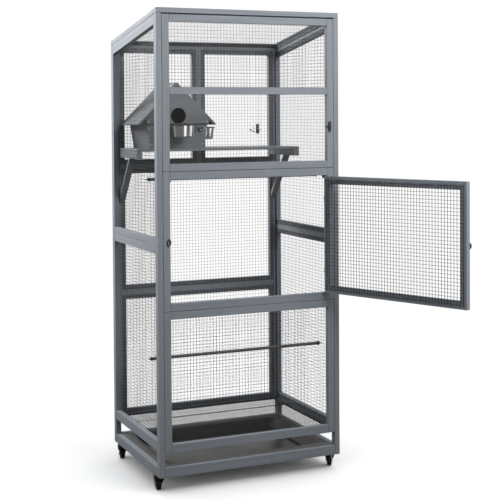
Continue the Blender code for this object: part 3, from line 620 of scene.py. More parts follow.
def side_frame(side):
    x0 = 0.0 if side == "left" else W - T
    x1 = x0 + T
    sg = 1.0 if side == "left" else -1.0
    xin = x1 if side == "left" else x0
    # lower
    B = Builder(M_PAINT)
    ztop = Z_SM_SEAM - GAP
    st = rect_painted_shade("x", sg, S - LAP, D - S + LAP, Z_SB_HI - LAP, Z_SM_LO + LAP)
    bar(B, x0, x1, 0.0, S, Z_BODY, ztop, "z", painted_shade=st)
    bar(B, x0, x1, D - S, D, Z_BODY, ztop, "z", painted_shade=st)
    for z0, z1 in ((Z_BODY, Z_BASE), (Z_SB_LO, Z_SB_HI), (Z_SM_LO, ztop)):
        bar(B, x0, x1, S + JOIN, D - S - JOIN, z0, z1, "y", painted_shade=st)
    a, b = sorted((xin, xin + sg * 0.0250))
    bar(B, a, b, T + 0.0004, D - T - 0.0004, Z_BASE - 0.0200, Z_BASE - 0.0018, "y", r=0.0006)
    a, b = sorted((xin, xin + sg * 0.0120))
    bar(B, a, b, T + 0.0020, D - T - 0.0020, Z_SB_LO + 0.0005, Z_SB_LO + 0.0115, "y", r=0.0008)
    B.done("timber_%s_lower" % side, "cage", [side + "_lower_frame"])
    # upper, its top edge following the roof
    B = Builder(M_PAINT)
    zb = Z_SM_SEAM + GAP
    H = 1.70
    drop = 0.0366

    def top_warp(c):
        if c.z > H - 0.2:
            return Vector((c.x, c.y, c.z - H + roof_under(c.y) - GAP))
        return c

    # the upper side frames' inner faces under the wire get heavy painted shade
    st = rect_painted_shade("x", sg, S - LAP, D - S + LAP, Z_SM_HI - LAP, H - 0.0195, 1.6)
    st_low = rect_painted_shade("x", sg, S - LAP, D - S + LAP, Z_SM_HI - LAP, 3.0)
    bar(B, x0, x1, 0.0, S, zb, H, "z", painted_shade=st, warp=top_warp)
    bar(B, x0, x1, D - S, D, zb, H, "z", painted_shade=st, warp=top_warp)
    bar(B, x0, x1, S + JOIN, D - S - JOIN, zb, Z_SM_HI, "y", painted_shade=st_low)
    bar(B, x0, x1, S + JOIN, D - S - JOIN, H - drop, H, "y", painted_shade=st, warp=top_warp)
    B.done("timber_%s_upper" % side, "cage", [side + "_upper_frame"])


for sd in ("left", "right"):
    side_frame(sd)

# roof
B = Builder(M_PAINT)


def roof_warp(c):
    return Vector((c.x, c.y, c.z - SLOPE * c.y))


bar(B, 0.0, W, 0.0, S, Z_ROOF - ROOF_T + GAP, Z_ROOF, "x", r=0.0014, warp=roof_warp)
for x0, sg in ((0.0, 1.0), (W - T, -1.0)):
    # the roof rails' inner faces under the wire get the strongest painted shade
    st = rect_painted_shade("x", sg, S, D - T, Z_ROOF - ROOF_T - 0.01, Z_ROOF - 0.0030, 2.7)
    bar(B, x0, x0 + T, S + JOIN, D - T - JOIN, Z_ROOF - ROOF_T + GAP, Z_ROOF, "y", r=0.0014, painted_shade=st, warp=roof_warp)
st = rect_painted_shade("y", -1.0, T, W - T, Z_ROOF - ROOF_T - 0.01, Z_ROOF - 0.0030, 2.7)
bar(B, 0.0, W, D - T, D, Z_ROOF - ROOF_T + GAP, Z_ROOF, "x", r=0.0014, painted_shade=st, warp=roof_warp)
B.done("timber_roof", "cage", ["roof_frame"])

XB0, XB1 = T + GAP, W - T - GAP
XM = W / 2


def back_frame(name, x0, x1, z0, z_lo, z_hi, z1, sloped=False):
    B = Builder(M_PAINT)
    st = rect_painted_shade("y", -1.0, x0 + S - LAP, x1 - S + LAP, z_lo - LAP, z_hi + (LAP if not sloped else 0.020))

    def wf(c):
        if c.z > z_hi + 0.003:
            k = (c.z - z_hi - 0.003) / (z1 - z_hi - 0.003)
            return Vector((c.x, c.y, c.z + k * (roof_under(c.y) - GAP - z1)))
        return c
    warp = wf if sloped else None
    bar(B, x0, x0 + S, YB, D, z0, z1, "z", painted_shade=st, warp=warp)
    bar(B, x1 - S, x1, YB, D, z0, z1, "z", painted_shade=st, warp=warp)
    bar(B, x0 + S + JOIN, x1 - S - JOIN, YB, D, z0, z_lo, "x", painted_shade=st)
    bar(B, x0 + S + JOIN, x1 - S - JOIN, YB, D, z_hi, z1, "x", painted_shade=st, warp=warp)
    B.done("timber_" + name, "cage", [name + "_frame"])


back_frame("back_upper_left", XB0, XM - GAP / 2, Z_D1_SEAM + GAP, Z_D1_HI, Z_BTOP_RAIL, roof_under(YB) - GAP, True)
back_frame("back_upper_right", XM + GAP / 2, XB1, Z_D1_SEAM + GAP, Z_D1_HI, Z_BTOP_RAIL, roof_under(YB) - GAP, True)
back_frame("back_middle", XB0, XB1, Z_D2_SEAM + GAP, Z_D2_HI, Z_D1_LO, Z_D1_SEAM)
back_frame("back_lower", XB0, XB1, Z_BB_LO, Z_BB_HI, Z_D2_LO, Z_D2_SEAM)
for nm, y0, y1 in (("base_back_rail", YB, D), ("base_front_rail", 0.0, T)):
    B = Builder(M_PAINT)
    bar(B, XB0, XB1, y0, y1, Z_BODY, Z_BASE, "x")
    B.done("timber_" + nm, "cage", [nm])

# front panels; the mid rail and the rail below it carry two grooves
TRACK_F, TRACK_R, PANEL_T, GROOVE_DEPTH = 0.0059, 0.0124, 0.0030, 0.0045


def grooved(B, x0, x1, z0, z1, up, along="x", painted_shade=None):
    """A rail with two grooves in its top (up) or its underside."""
    r = 0.0011
    h = PANEL_T / 2 + 0.0004
    edge = z1 if up else z0
    inn = -GROOVE_DEPTH if up else GROOVE_DEPTH
    line = [(0.0 + r, edge)]
    for yc in (TRACK_F, TRACK_R):
        line += [(yc - h, edge), (yc - h, edge + inn), (yc + h, edge + inn), (yc + h, edge)]
    line += [(T - r, edge), (T - r * 0.3, edge - math.copysign(r * 0.3, 1 if up else -1)),
             (T, edge - math.copysign(r, 1 if up else -1))]
    other = z0 if up else z1
    s = 1 if up else -1
    line += [(T, other + s * r), (T - r * 0.3, other + s * r * 0.3), (T - r, other),
             (r, other), (r * 0.3, other + s * r * 0.3), (0.0, other + s * r),
             (0.0, edge - s * r), (r * 0.3, edge - s * r * 0.3)]
    bm = prism_bm(line, "x", x0, x1)
    solid(B, bm, 0.0, along, 0, 2, painted_shade)


# the fronts stand a little clear of the sides and the roof, and the joint reads dark
XF0, XF1 = XB0 + 0.0008, XB1 - 0.0008
B = Builder(M_PAINT, M_DARKSTEEL)
z0, zt = Z_D1_SEAM + 0.0011, roof_under(T) - 0.0013
st = rect_painted_shade("y", 1.0, XL - LAP, XR + LAP, Z_MID_HI - LAP, Z_TOP_RAIL + LAP)
bar(B, XF0, XL, 0.0, T, z0, zt, "z", painted_shade=st)
bar(B, XR, XF1, 0.0, T, z0, zt, "z", painted_shade=st)
grooved(B, XL + JOIN, XR - JOIN, z0, Z_D1_HI, True)
grooved(B, XL + JOIN, XR - JOIN, Z_MID_LO, Z_MID_HI, False, painted_shade=st)
bar(B, XL + JOIN, XR - JOIN, 0.0, T, Z_TOP_RAIL, zt, "x", painted_shade=st)
screw(B, (0.0615, 0.0, 1.6969), (0, -1, 0), 0.0026, 1)
bar(B, XF0, XF1, 0.0045, T - 0.0020, Z_D1_SEAM + GAP, Z_D1_SEAM + 0.0030, "x", r=0.0)
B.done("timber_front_upper", "cage", ["front_upper_frame"])

B = Builder(M_PAINT)
z0, z1 = Z_D2_SEAM + 0.0010, Z_D1_SEAM - 0.0005
bar(B, XF0, XL, 0.0, T, z0, z1, "z")
bar(B, XR, XF1, 0.0, T, z0, z1, "z")
bar(B, XL + JOIN, XR - JOIN, 0.0, T, z0, Z_D2_HI, "x")
bar(B, XL + JOIN, XR - JOIN, 0.0, T, Z_D1_LO, z1, "x")
bar(B, XF0, XF1, 0.0045, T - 0.0020, Z_D2_SEAM + GAP, Z_D2_SEAM + 0.0030, "x", r=0.0)
bar(B, XF0, XF1, 0.0045, T - 0.0020, z1 - 0.0030, Z_D1_SEAM, "x", r=0.0)
B.done("timber_door_surround", "cage", ["door_surround"])

B = Builder(M_PAINT)
st = rect_painted_shade("y", 1.0, XL - LAP, XR + LAP, Z_FB_HI - LAP, Z_D2_LO + LAP)
bar(B, XF0, XL, 0.0, T, Z_FB_LO, Z_D2_SEAM - 0.0005, "z", painted_shade=st)
bar(B, XR, XF1, 0.0, T, Z_FB_LO, Z_D2_SEAM - 0.0005, "z", painted_shade=st)
bar(B, XL + JOIN, XR - JOIN, 0.0, T, Z_FB_LO, Z_FB_HI, "x", painted_shade=st)
bar(B, XL + JOIN, XR - JOIN, 0.0, T, Z_D2_LO, Z_D2_SEAM - 0.0005, "x", painted_shade=st)
bar(B, XF0, XF1, 0.0045, T - 0.0020, Z_D2_SEAM - 0.0035, Z_D2_SEAM, "x", r=0.0)
B.done("timber_front_lower", "cage", ["front_lower_frame"])

# door, drawn shut and swung open
B = Builder(M_PAINT)
DT = 0.0195
st = rect_painted_shade("y", 1.0, DOOR_X0 + S - LAP, DOOR_X1 - S + LAP, DOOR_Z0 + S - LAP, DOOR_Z1 - S + LAP, 0.15)
bar(B, DOOR_X0, DOOR_X0 + S, 0.0, DT, DOOR_Z0, DOOR_Z1, "z", r=0.0014, painted_shade=st)
bar(B, DOOR_X1 - S, DOOR_X1, 0.0, DT, DOOR_Z0, DOOR_Z1, "z", r=0.0014, painted_shade=st)
bar(B, DOOR_X0 + S + JOIN, DOOR_X1 - S - JOIN, 0.0, DT, DOOR_Z0, DOOR_Z0 + S, "x", r=0.0014, painted_shade=st)
bar(B, DOOR_X0 + S + JOIN, DOOR_X1 - S - JOIN, 0.0, DT, DOOR_Z1 - S, DOOR_Z1, "x", r=0.0014, painted_shade=st)
B.done("timber_door", "door", ["door_frame"], DOOR)

# ------------------------------------------------------------------ wire
G1 = 0.0001


def around(a0, a1, b0, b1, inset, step=0.075):
    """Points spaced round a rectangle, with the direction of each side."""
    out = []
    na = max(2, int((a1 - a0) / step))
    nb = max(2, int((b1 - b0) / step))
    for i in range(na):
        t = a0 + (a1 - a0) * (i + 0.5) / na
        out += [(t, b0 + inset, 0), (t, b1 - inset, 0)]
    for i in range(nb):
        t = b0 + (b1 - b0) * (i + 0.5) / nb
        out += [(a0 + inset, t, 1), (a1 - inset, t, 1)]
    return out


for side in ("left", "right"):
    sg = 1.0 if side == "left" else -1.0
    xin = T if side == "left" else W - T
    for part, zlo, zhi in (("lower", Z_SB_HI - LAP, Z_SM_LO + LAP), ("upper", Z_SM_HI - LAP, None)):
        B = Builder(M_WIRE, M_ZINC)
        ylo, yhi = S - LAP, D - S + LAP
        ylo, yhi = max(ylo, T + 0.002), min(yhi, D - T - 0.002)
        o = (xin + sg * G1, ylo, zlo)
        if zhi:
            wire_panel(B, o, (0, 1, 0), (0, 0, 1), (sg, 0, 0), yhi - ylo, zhi - zlo, r=0.00057 if side == "right" else WIRE_R)
            pts = around(ylo, yhi, zlo, zhi, 0.006)
        else:
            hgt = lambda q: roof_under(ylo + q) - 0.0185 - zlo
            wire_panel(B, o, (0, 1, 0), (0, 0, 1), (sg, 0, 0), yhi - ylo, roof_under(ylo) - 0.0185 - zlo, height=hgt)
            pts = around(ylo, yhi, zlo, roof_under(yhi) - 0.0185, 0.006)
            pts = [p for p in pts if not (p[2] == 0 and p[1] > 1.5)]
        for a, b, k in pts:
            staples(B, [(xin + sg * 4 * WIRE_R, a, b)], (0, 1, 0) if k else (0, 0, 1), (sg, 0, 0))
        B.done("mesh_%s_%s" % (side, part), "cage", ["%s_%s_mesh" % (side, part)])

for nm, x0, x1, z0, z1 in (
        ("back_upper_left", XB0 + S - LAP, XM - S + LAP, Z_D1_HI - LAP, Z_BTOP_RAIL + 0.020),
        ("back_upper_right", XM + S - LAP, XB1 - S + LAP, Z_D1_HI - LAP, Z_BTOP_RAIL + 0.020),
        ("back_middle", XB0 + S - LAP, XB1 - S + LAP, Z_D2_HI - LAP, Z_D1_LO + LAP),
        ("back_lower", XB0 + S - LAP, XB1 - S + LAP, Z_BB_HI - LAP, Z_D2_LO + LAP)):
    x0, x1 = max(x0, T + 0.0022), min(x1, W - T - 0.0022)
    B = Builder(M_WIRE, M_ZINC)
    wire_panel(B, (x0, YB - G1, z0), (1, 0, 0), (0, 0, 1), (0, -1, 0), x1 - x0, z1 - z0, r=0.00045 if "upper" in nm else WIRE_R)
    for a, b, k in around(x0, x1, z0, z1, 0.006):
        staples(B, [(a, YB - 4 * WIRE_R, b)], (1, 0, 0) if k else (0, 0, 1), (0, -1, 0))
    B.done("mesh_" + nm, "cage", [nm + "_mesh"])

for nm, z0, z1 in (("front_upper", Z_MID_HI - LAP, Z_TOP_RAIL + LAP), ("front_lower", Z_FB_HI - LAP, Z_D2_LO + LAP)):
    x0, x1 = max(XL - LAP, T + 0.0022), min(XR + LAP, W - T - 0.0022)
    B = Builder(M_WIRE, M_ZINC)
    wire_panel(B, (x0, T + G1, z0), (1, 0, 0), (0, 0, 1), (0, 1, 0), x1 - x0, z1 - z0, r=0.00045 if nm == "front_upper" else WIRE_R)
    for a, b, k in around(x0, x1, z0, z1, 0.006):
        staples(B, [(a, T + 4 * WIRE_R, b)], (1, 0, 0) if k else (0, 0, 1), (0, 1, 0))
    B.done("mesh_" + nm, "cage", [nm + "_mesh"])

# roof wire: flat under the rails, its edges folded down against the sides
B = Builder(M_WIRE, M_ZINC)
rl = math.hypot(D, ROOF_DROP)
dv = Vector((0, D / rl, -ROOF_DROP / rl))
nn = Vector((0, -ROOF_DROP / rl, -D / rl))
y0r = T + 0.0030
o = Vector((T + 0.0014, y0r, roof_under(y0r))) + nn * (GAP + G1)
lr = (D - T - 0.0030 - y0r) / (D / rl)
wire_panel(B, o, (1, 0, 0), dv, nn, W - 2 * T - 0.0028, lr, r=0.00033, r_across=0.00018)
for i in range(int(lr / PITCH)):
    p = o + dv * ((lr - int(lr / PITCH) * PITCH) / 2 + i * PITCH)
    for xx in (T + 0.0014, W - T - 0.0014):
        tube(B, [Vector((xx, p.y, p.z - 0.0005)), Vector((xx, p.y, p.z - 0.0110))], 0.0006, 5)
for xx in (T + 0.0014, W - T - 0.0014):
    a = o + dv * 0.002
    b = o + dv * (lr - 0.002)
    tube(B, [(xx, a.y, a.z - 0.0058), (xx, b.y, b.z - 0.0058)], 0.0009, 5)
B.done("mesh_roof", "cage", ["roof_mesh"])

B = Builder(M_WIRE, M_ZINC)
x0, x1 = DOOR_X0 + S - LAP, DOOR_X1 - S + LAP
z0, z1 = DOOR_Z0 + S - LAP, DOOR_Z1 - S + LAP
wire_panel(B, (x0, DT + G1, z0), (1, 0, 0), (0, 0, 1), (0, 1, 0), x1 - x0, z1 - z0, r=0.00090, r_across=0.00076)
for a, b, k in around(x0, x1, z0, z1, 0.006):
    staples(B, [(a, DT + 0.0038, b)], (1, 0, 0) if k else (0, 0, 1), (0, 1, 0))
B.done("mesh_door", "door", ["door_mesh"], DOOR)

# floor grate: heavier wire, an edge rod all round and a cross rod
B = Builder(M_GRATE)
gz = Z_SB_LO + 0.0115 + GAP
gx0, gx1, gy0, gy1 = T + 0.0030, W - T - 0.0030, T + 0.0030, D - T - 0.0030
wire_panel(B, (gx0, gy1, gz), (0, -1, 0), (1, 0, 0), (0, 0, 1), gy1 - gy0, gx1 - gx0, r=0.00022, bow=0.0002, r_across=0.00190)
for p, q in (((gx0, gy0), (gx1, gy0)), ((gx1, gy0), (gx1, gy1)), ((gx1, gy1), (gx0, gy1)), ((gx0, gy1), (gx0, gy0))):
    tube(B, [(p[0], p[1], gz + 0.0012), (q[0], q[1], gz + 0.0012)], 0.0012, 8)
tube(B, [(gx0, 0.3800, gz + 0.0050), (gx1, 0.3800, gz + 0.0050)], 0.0016, 8)
B.done("grate_floor", "cage", ["floor_grate"])

# ------------------------------------------------------------------ tray
B = Builder(M_TRAY, M_TRAY_RIM)
tx0, tx1, ty0, ty1 = T + 0.0024, W - T - 0.0024, T + 0.0012, D - T - 0.0030
zr, zf, tt = Z_BASE + 0.0001, 0.0618, 0.0012
bm = bmesh.new()


def rounded(inset, z, rad, seg=8):
    out = []
    x0, x1, y0, y1 = tx0 + inset, tx1 - inset, ty0 + inset, ty1 - inset
    for cx, cy, a0 in ((x1 - rad, y1 - rad, 0), (x0 + rad, y1 - rad, 90), (x0 + rad, y0 + rad, 180), (x1 - rad, y0 + rad, 270)):
        for k in range(seg + 1):
            a = math.radians(a0 + 90.0 * k / seg)
            out.append(bm.verts.new((cx + rad * math.cos(a), cy + rad * math.sin(a), z)))
    return out


top = [(0.0610, zf + tt, 0.022), (0.0595, zf + tt + 0.0004, 0.0225), (0.0575, zf + tt + 0.0020, 0.0235),
       (0.0355, zr + tt - 0.0022, 0.030), (0.0335, zr + tt - 0.0004, 0.031), (0.0315, zr + tt, 0.032),
       (0.0040, zr + tt, 0.011), (0.0018, zr + tt + 0.0006, 0.0105), (0.0006, zr + tt + 0.0004, 0.010), (0.0, zr + tt - 0.0004, 0.010),
       (0.0, zr - 0.0010, 0.010), (0.0004, zr - 0.0013, 0.010), (0.0010, zr - 0.0010, 0.010), (0.0012, zr, 0.010)]
under = [(0.0322, zr, 0.032), (0.0345, zr - 0.0006, 0.031), (0.0362, zr - 0.0022, 0.030),
         (0.0583, zf + 0.0018, 0.0235), (0.0600, zf + 0.0004, 0.0225), (0.0612, zf, 0.022)]
loops = [rounded(*p) for p in top + under]
for a, b in zip(loops, loops[1:]):
    n = len(a)
    for k in range(n):
        j = (k + 1) % n
        bm.faces.new((a[k], a[j], b[j], b[k]))
bm.faces.new(loops[0])
bm.faces.new(list(reversed(loops[-1])))
bmesh.ops.recalc_face_normals(bm, faces=bm.faces)
B.take(bm, 0, None, None, None, lambda f: len(f.verts) > 4)
# rim faces take the dark matt copy, painted shade in place of the steel rim's glints
for i, f in enumerate(B.f):
    if sum(B.v[k][2] for k in f) / len(f) > zr - 0.0015:
        B.m[i] = 1
B.done("tray_pan", "tray", ["tray"])

# ------------------------------------------------------------------ shelf
B = Builder(M_SHELF)
sx0, sx1 = T + 0.0016, W - T - 0.0016
sy0, sy1 = 0.2910, YB - 0.0014
bar(B, sx0, sx1, sy0, sy1 - 0.0010, Z_SHELF + GAP, Z_SHELF + SHELF_T, "x", r=0.0014)
B.done("shelf_top", "cage", ["shelf_board"])
for tag, bx0 in (("left", sx0), ("right", sx1 - 0.0230)):
    B = Builder(M_SHELF, M_ZINC)
    bx1 = bx0 + 0.0230
    za = Z_SHELF - 0.0265
    bar(B, bx0, bx1, 0.2930, sy1 - 0.0010, za, Z_SHELF, "y", r=0.0012)
    rise = (za - 1.0060) / (sy1 - 0.3750)
    pts = [(0.3752, za - 0.0002), (sy1 - 0.001, 1.0060), (sy1 - 0.001, 1.0060 + 0.0190 * rise), (0.3940, za - 0.0002)]
    solid(B, prism_bm(pts, "x", bx0, bx1), 0.0012, Vector((0, 1, -rise)))
    for y in (0.3150, 0.4350, 0.4950):
        xs = bx1 if tag == "left" else bx0
        screw(B, (xs, y, za + 0.013), (1 if tag == "left" else -1, 0, 0), mat=1)
    B.done("shelf_bracket_timber_" + tag, "cage", ["shelf_bracket_" + tag])

# ------------------------------------------------------------------ nest box
ax_in = NEST_APEX - NEST_ROOF_T * math.sqrt(2.0) - 0.0005
SH, FT, WL = 0.1265, 0.1080, 0.0080
z_sh = ax_in - SH
zc = 1.3200
B = Builder(M_NEST, M_ZINC, M_NEST_SHADE)
lean = (SH - FT) / (z_sh - NEST_Z0)
# floor, back, side walls and the lower front, each a board of its own
bar(B, NEST_X - FT + 0.0002, NEST_X + FT - 0.0002, NEST_Y0 + WL + 0.0002, NEST_Y1 - WL - 0.0002, NEST_Z0, NEST_Z0 + WL, "x", r=0.0006)
solid(B, prism_bm([(NEST_X - FT, NEST_Z0), (NEST_X + FT, NEST_Z0), (NEST_X + SH, z_sh), (NEST_X, ax_in), (NEST_X - SH, z_sh)],
                  "y", NEST_Y1 - WL, NEST_Y1), 0.0008, "x")
for s in (-1, 1):
    f = lambda x: NEST_X + s * x
    pts = [(f(FT), NEST_Z0), (f(SH), z_sh), (f(SH - WL), z_sh + WL * 0.95), (f(SH - WL), z_sh), (f(FT - WL), NEST_Z0)]
    bm = prism_bm(pts, "y", NEST_Y0 + WL + 0.0002, NEST_Y1 - WL - 0.0002)
    solid(B, bm, 0.0006, "y")
hw = lambda z: FT + lean * (z - NEST_Z0)
solid(B, prism_bm([(NEST_X - FT, NEST_Z0), (NEST_X + FT, NEST_Z0), (NEST_X + hw(1.3178), 1.3178), (NEST_X - hw(1.3178), 1.3178)],
                  "y", NEST_Y0, NEST_Y0 + WL), 0.0008, "x")
for s in (-1, 1):
    for z in (1.2420, 1.3020):
        screw(B, (NEST_X + s * (hw(z) - 0.006), NEST_Y0, z), (0, -1, 0), 0.0024, 1)
# faces inside the box take the painted-shade paint
for i, f in enumerate(B.f):
    c = [sum(B.v[k][q] for k in f) / len(f) for q in range(3)]
    if (NEST_Y0 + WL - 0.0003 < c[1] < NEST_Y1 - WL + 0.0003 and c[2] > NEST_Z0 + WL - 0.0003
            and abs(c[0] - NEST_X) < FT + lean * (c[2] - NEST_Z0) - WL + 0.0006):
        B.m[i] = 2
B.done("nest_boards", "cage", ["nest_body"])

# gable board with its round hole, bored through a ring of quads
B = Builder(M_NEST, M_ZINC, M_NEST_SHADE)
FR = 0.0095
y0, y1 = NEST_Y0 - GAP - FR, NEST_Y0 - GAP
hx, hz, hr = NEST_X + 0.0015, 1.3500, 0.0300
out2 = [(NEST_X - SH, zc), (NEST_X + SH, zc), (NEST_X + SH, z_sh), (NEST_X, ax_in), (NEST_X - SH, z_sh)]


def ray_out(ang):
    d = (math.cos(ang), math.sin(ang))
    best = None
    n = len(out2)
    for i in range(n):
        (ax, az), (bx, bz) = out2[i], out2[(i + 1) % n]
        ex, ez = bx - ax, bz - az
        den = d[0] * ez - d[1] * ex
        if abs(den) < 1e-12:
            continue
        t = ((ax - hx) * ez - (az - hz) * ex) / den
        q = ((ax - hx) * d[1] - (az - hz) * d[0]) / den
        if t > 0 and -1e-9 <= q <= 1 + 1e-9 and (best is None or t < best):
            best = t
    return best


angs = sorted([2 * math.pi * k / 48 for k in range(48)] +
              [math.atan2(z - hz, x - hx) % (2 * math.pi) for x, z in out2])
bm = bmesh.new()
rc = 0.0010
rows = []
for a in angs:
    c, s = math.cos(a), math.sin(a)
    t = ray_out(a)
    P = lambda rad, y: bm.verts.new((hx + rad * c, y, hz + rad * s))
    rows.append([P(hr, y0 + rc), P(hr + rc * 0.3, y0 + rc * 0.3), P(hr + rc, y0), P(t - rc, y0), P(t - rc * 0.3, y0 + rc * 0.3), P(t, y0 + rc),
                 P(t, y1 - rc), P(t - rc, y1), P(hr + rc, y1), P(hr, y1 - rc)])
n = len(rows)
for i in range(n):
    a, b = rows[i], rows[(i + 1) % n]
    m = len(a)
    for k in range(m):
        l = (k + 1) % m
        bm.faces.new((a[k], a[l], b[l], b[k]))
bmesh.ops.recalc_face_normals(bm, faces=bm.faces)
sdv = next_seed() * 2.713
B.take(bm, 0, lambda c: (c[0] + sdv, c[2], c[1]), None, None, lambda f: abs(f.normal.y) > 0.9995)
# the hole's bore and the gable's inner face take the same painted shade
for i, f in enumerate(B.f):
    c = [sum(B.v[k][q] for k in f) / len(f) for q in range(3)]
    if c[1] > y0 + 0.0015 and (math.hypot(c[0] - hx, c[2] - hz) < hr + 0.0005 or c[1] > y1 - 0.0001):
        B.m[i] = 2
for s in (-1, 1):
    screw(B, (NEST_X + s * (SH - 0.007), y0, 1.3280), (0, -1, 0), 0.0024, 1)
B.done("nest_gable", "cage", ["nest_front"])

reach = 0.1580
ry0, ry1 = NEST_Y0 - 0.0045, 0.5100
kk = NEST_ROOF_T * math.sqrt(2.0)
zt = NEST_APEX - reach
for nm, s, node, body in (("nest_roof_board", -1.0, "nest_roof_left", "cage"), ("nest_lid_board", 1.0, "nest_lid", "nest_lid")):
    B = Builder(M_NEST, M_ZINC)
    g = 0.0002 * s
    pts = [(NEST_X + g, NEST_APEX), (NEST_X + s * reach, zt), (NEST_X + s * (reach - 0.0020), zt - 0.0045),
           (NEST_X + s * (reach - kk + 0.0045), zt - 0.0045), (NEST_X + g, NEST_APEX - kk)]
    if s < 0:
        pts = list(reversed(pts))
    solid(B, prism_bm(pts, "y", ry0, ry1), 0.0009, "y")
    B.done(nm, body, [node])

# two small bright hinges over the ridge: a leaf each side, knuckles on top
for tag, yc in (("front", 0.3350), ("back", 0.4700)):
    for nm, s, body in (("fixed", -1.0, "cage"), ("moving", 1.0, "nest_lid")):
        B = Builder(M_ZINC)
        c45 = math.sqrt(0.5)
        along = Vector((s * c45, 0, -c45))
        nrm = Vector((s * c45, 0, c45))
        org = Vector((NEST_X + s * 0.0002, yc, NEST_APEX)) + nrm * 0.0001
        bm = bmesh.new()
        r = bmesh.ops.create_cube(bm, size=1.0)
        for v in r["verts"]:
            u = (0.0016 if s < 0 else 0.0034) + (v.co.x + 0.5) * 0.0250
            w = (v.co.z + 0.5) * 0.0009
            q = v.co.y * 0.0300
            v.co = org + along * u + nrm * w + Vector((0, q, 0))
        solid(B, bm, 0.0003, "y", seg=1)
        for q in (-0.009, 0.009):
            screw(B, org + along * 0.0190 + nrm * 0.0009 + Vector((0, q, 0)), nrm, 0.0022, 0)
        rng_y = ((-0.0150, -0.0052), (-0.0048, 0.0048), (0.0052, 0.0150)) if s < 0 else ()
        for q0, q1 in rng_y:
            lathe(B, [(0.0, q0), (0.0012, q0), (0.0013, q0 + 0.0002), (0.0013, q1 - 0.0002), (0.0012, q1), (0.0, q1)],
                  (NEST_X + s * 0.0002, yc, NEST_APEX + 0.0018), "y", 12)
        B.done("nest_hinge_%s_%s" % (tag, nm), body)

# ------------------------------------------------------------------ perches
for nm, y, z in (("perch_upper", 0.1500, 1.1180), ("perch_lower", 0.1370, 0.4620)):
    B = Builder(M_DOWEL, M_BLACK, M_ZINC)
    bm = bmesh.new()
    xs = [T + 0.0018, T + 0.0026, W - T - 0.0026, W - T - 0.0018]
    rr = [0.0052, 0.0060, 0.0060, 0.0052]
    seg = 20
    rings = [[bm.verts.new((x, y + r * math.cos(2 * math.pi * k / seg), z + r * math.sin(2 * math.pi * k / seg)))
              for k in range(seg)] for x, r in zip(xs, rr)]
    for a, b in zip(rings, rings[1:]):
        for k in range(seg):
            j = (k + 1) % seg
            bm.faces.new((a[k], a[j], b[j], b[k]))
    bm.faces.new(list(reversed(rings[0])))
    bm.faces.new(rings[-1])
    bmesh.ops.recalc_face_normals(bm, faces=bm.faces)
    sdv = next_seed() * 2.713
    B.take(bm, 0, lambda c: (c.x + sdv, c.y, c.z), None, None, lambda f: len(f.verts) > 4)
    for s, xo in ((-1, T), (1, W - T)):
        # a washer outside the wire, the threaded end and a wing nut outside
        x = xo + s * (-0.0001)
        lathe(B, [(0.0, 0.0), (0.0085, 0.0), (0.0085, 0.0009), (0.0, 0.0009)], (xo - 0.0010 if s < 0 else xo + 0.0001, y, z), "x", 20, 1)
        end = xo + s * 0.0150
        tube(B, [(xo, y, z), (end, y, z)], 0.0020, 10, 2)
        hub = xo + s * 0.0030
        lathe(B, [(0.0, -0.0022), (0.0042, -0.0022), (0.0036, 0.0026), (0.0, 0.0026)], (hub + s * 0.0008, y, z), "x", 14, 1)
        for t in (-1, 1):
            pts = [(y + t * 0.0030, z - 0.0015), (y + t * 0.0100, z + 0.0020), (y + t * 0.0112, z + 0.0068),
                   (y + t * 0.0082, z + 0.0072), (y + t * 0.0030, z + 0.0030)]
            solid(B, prism_bm(pts, "x", hub - 0.0006 + s * 0.0008, hub + 0.0008 + s * 0.0008), 0.0003, "x", 1, 1)
    B.done(nm + "_dowel", "cage", [nm])

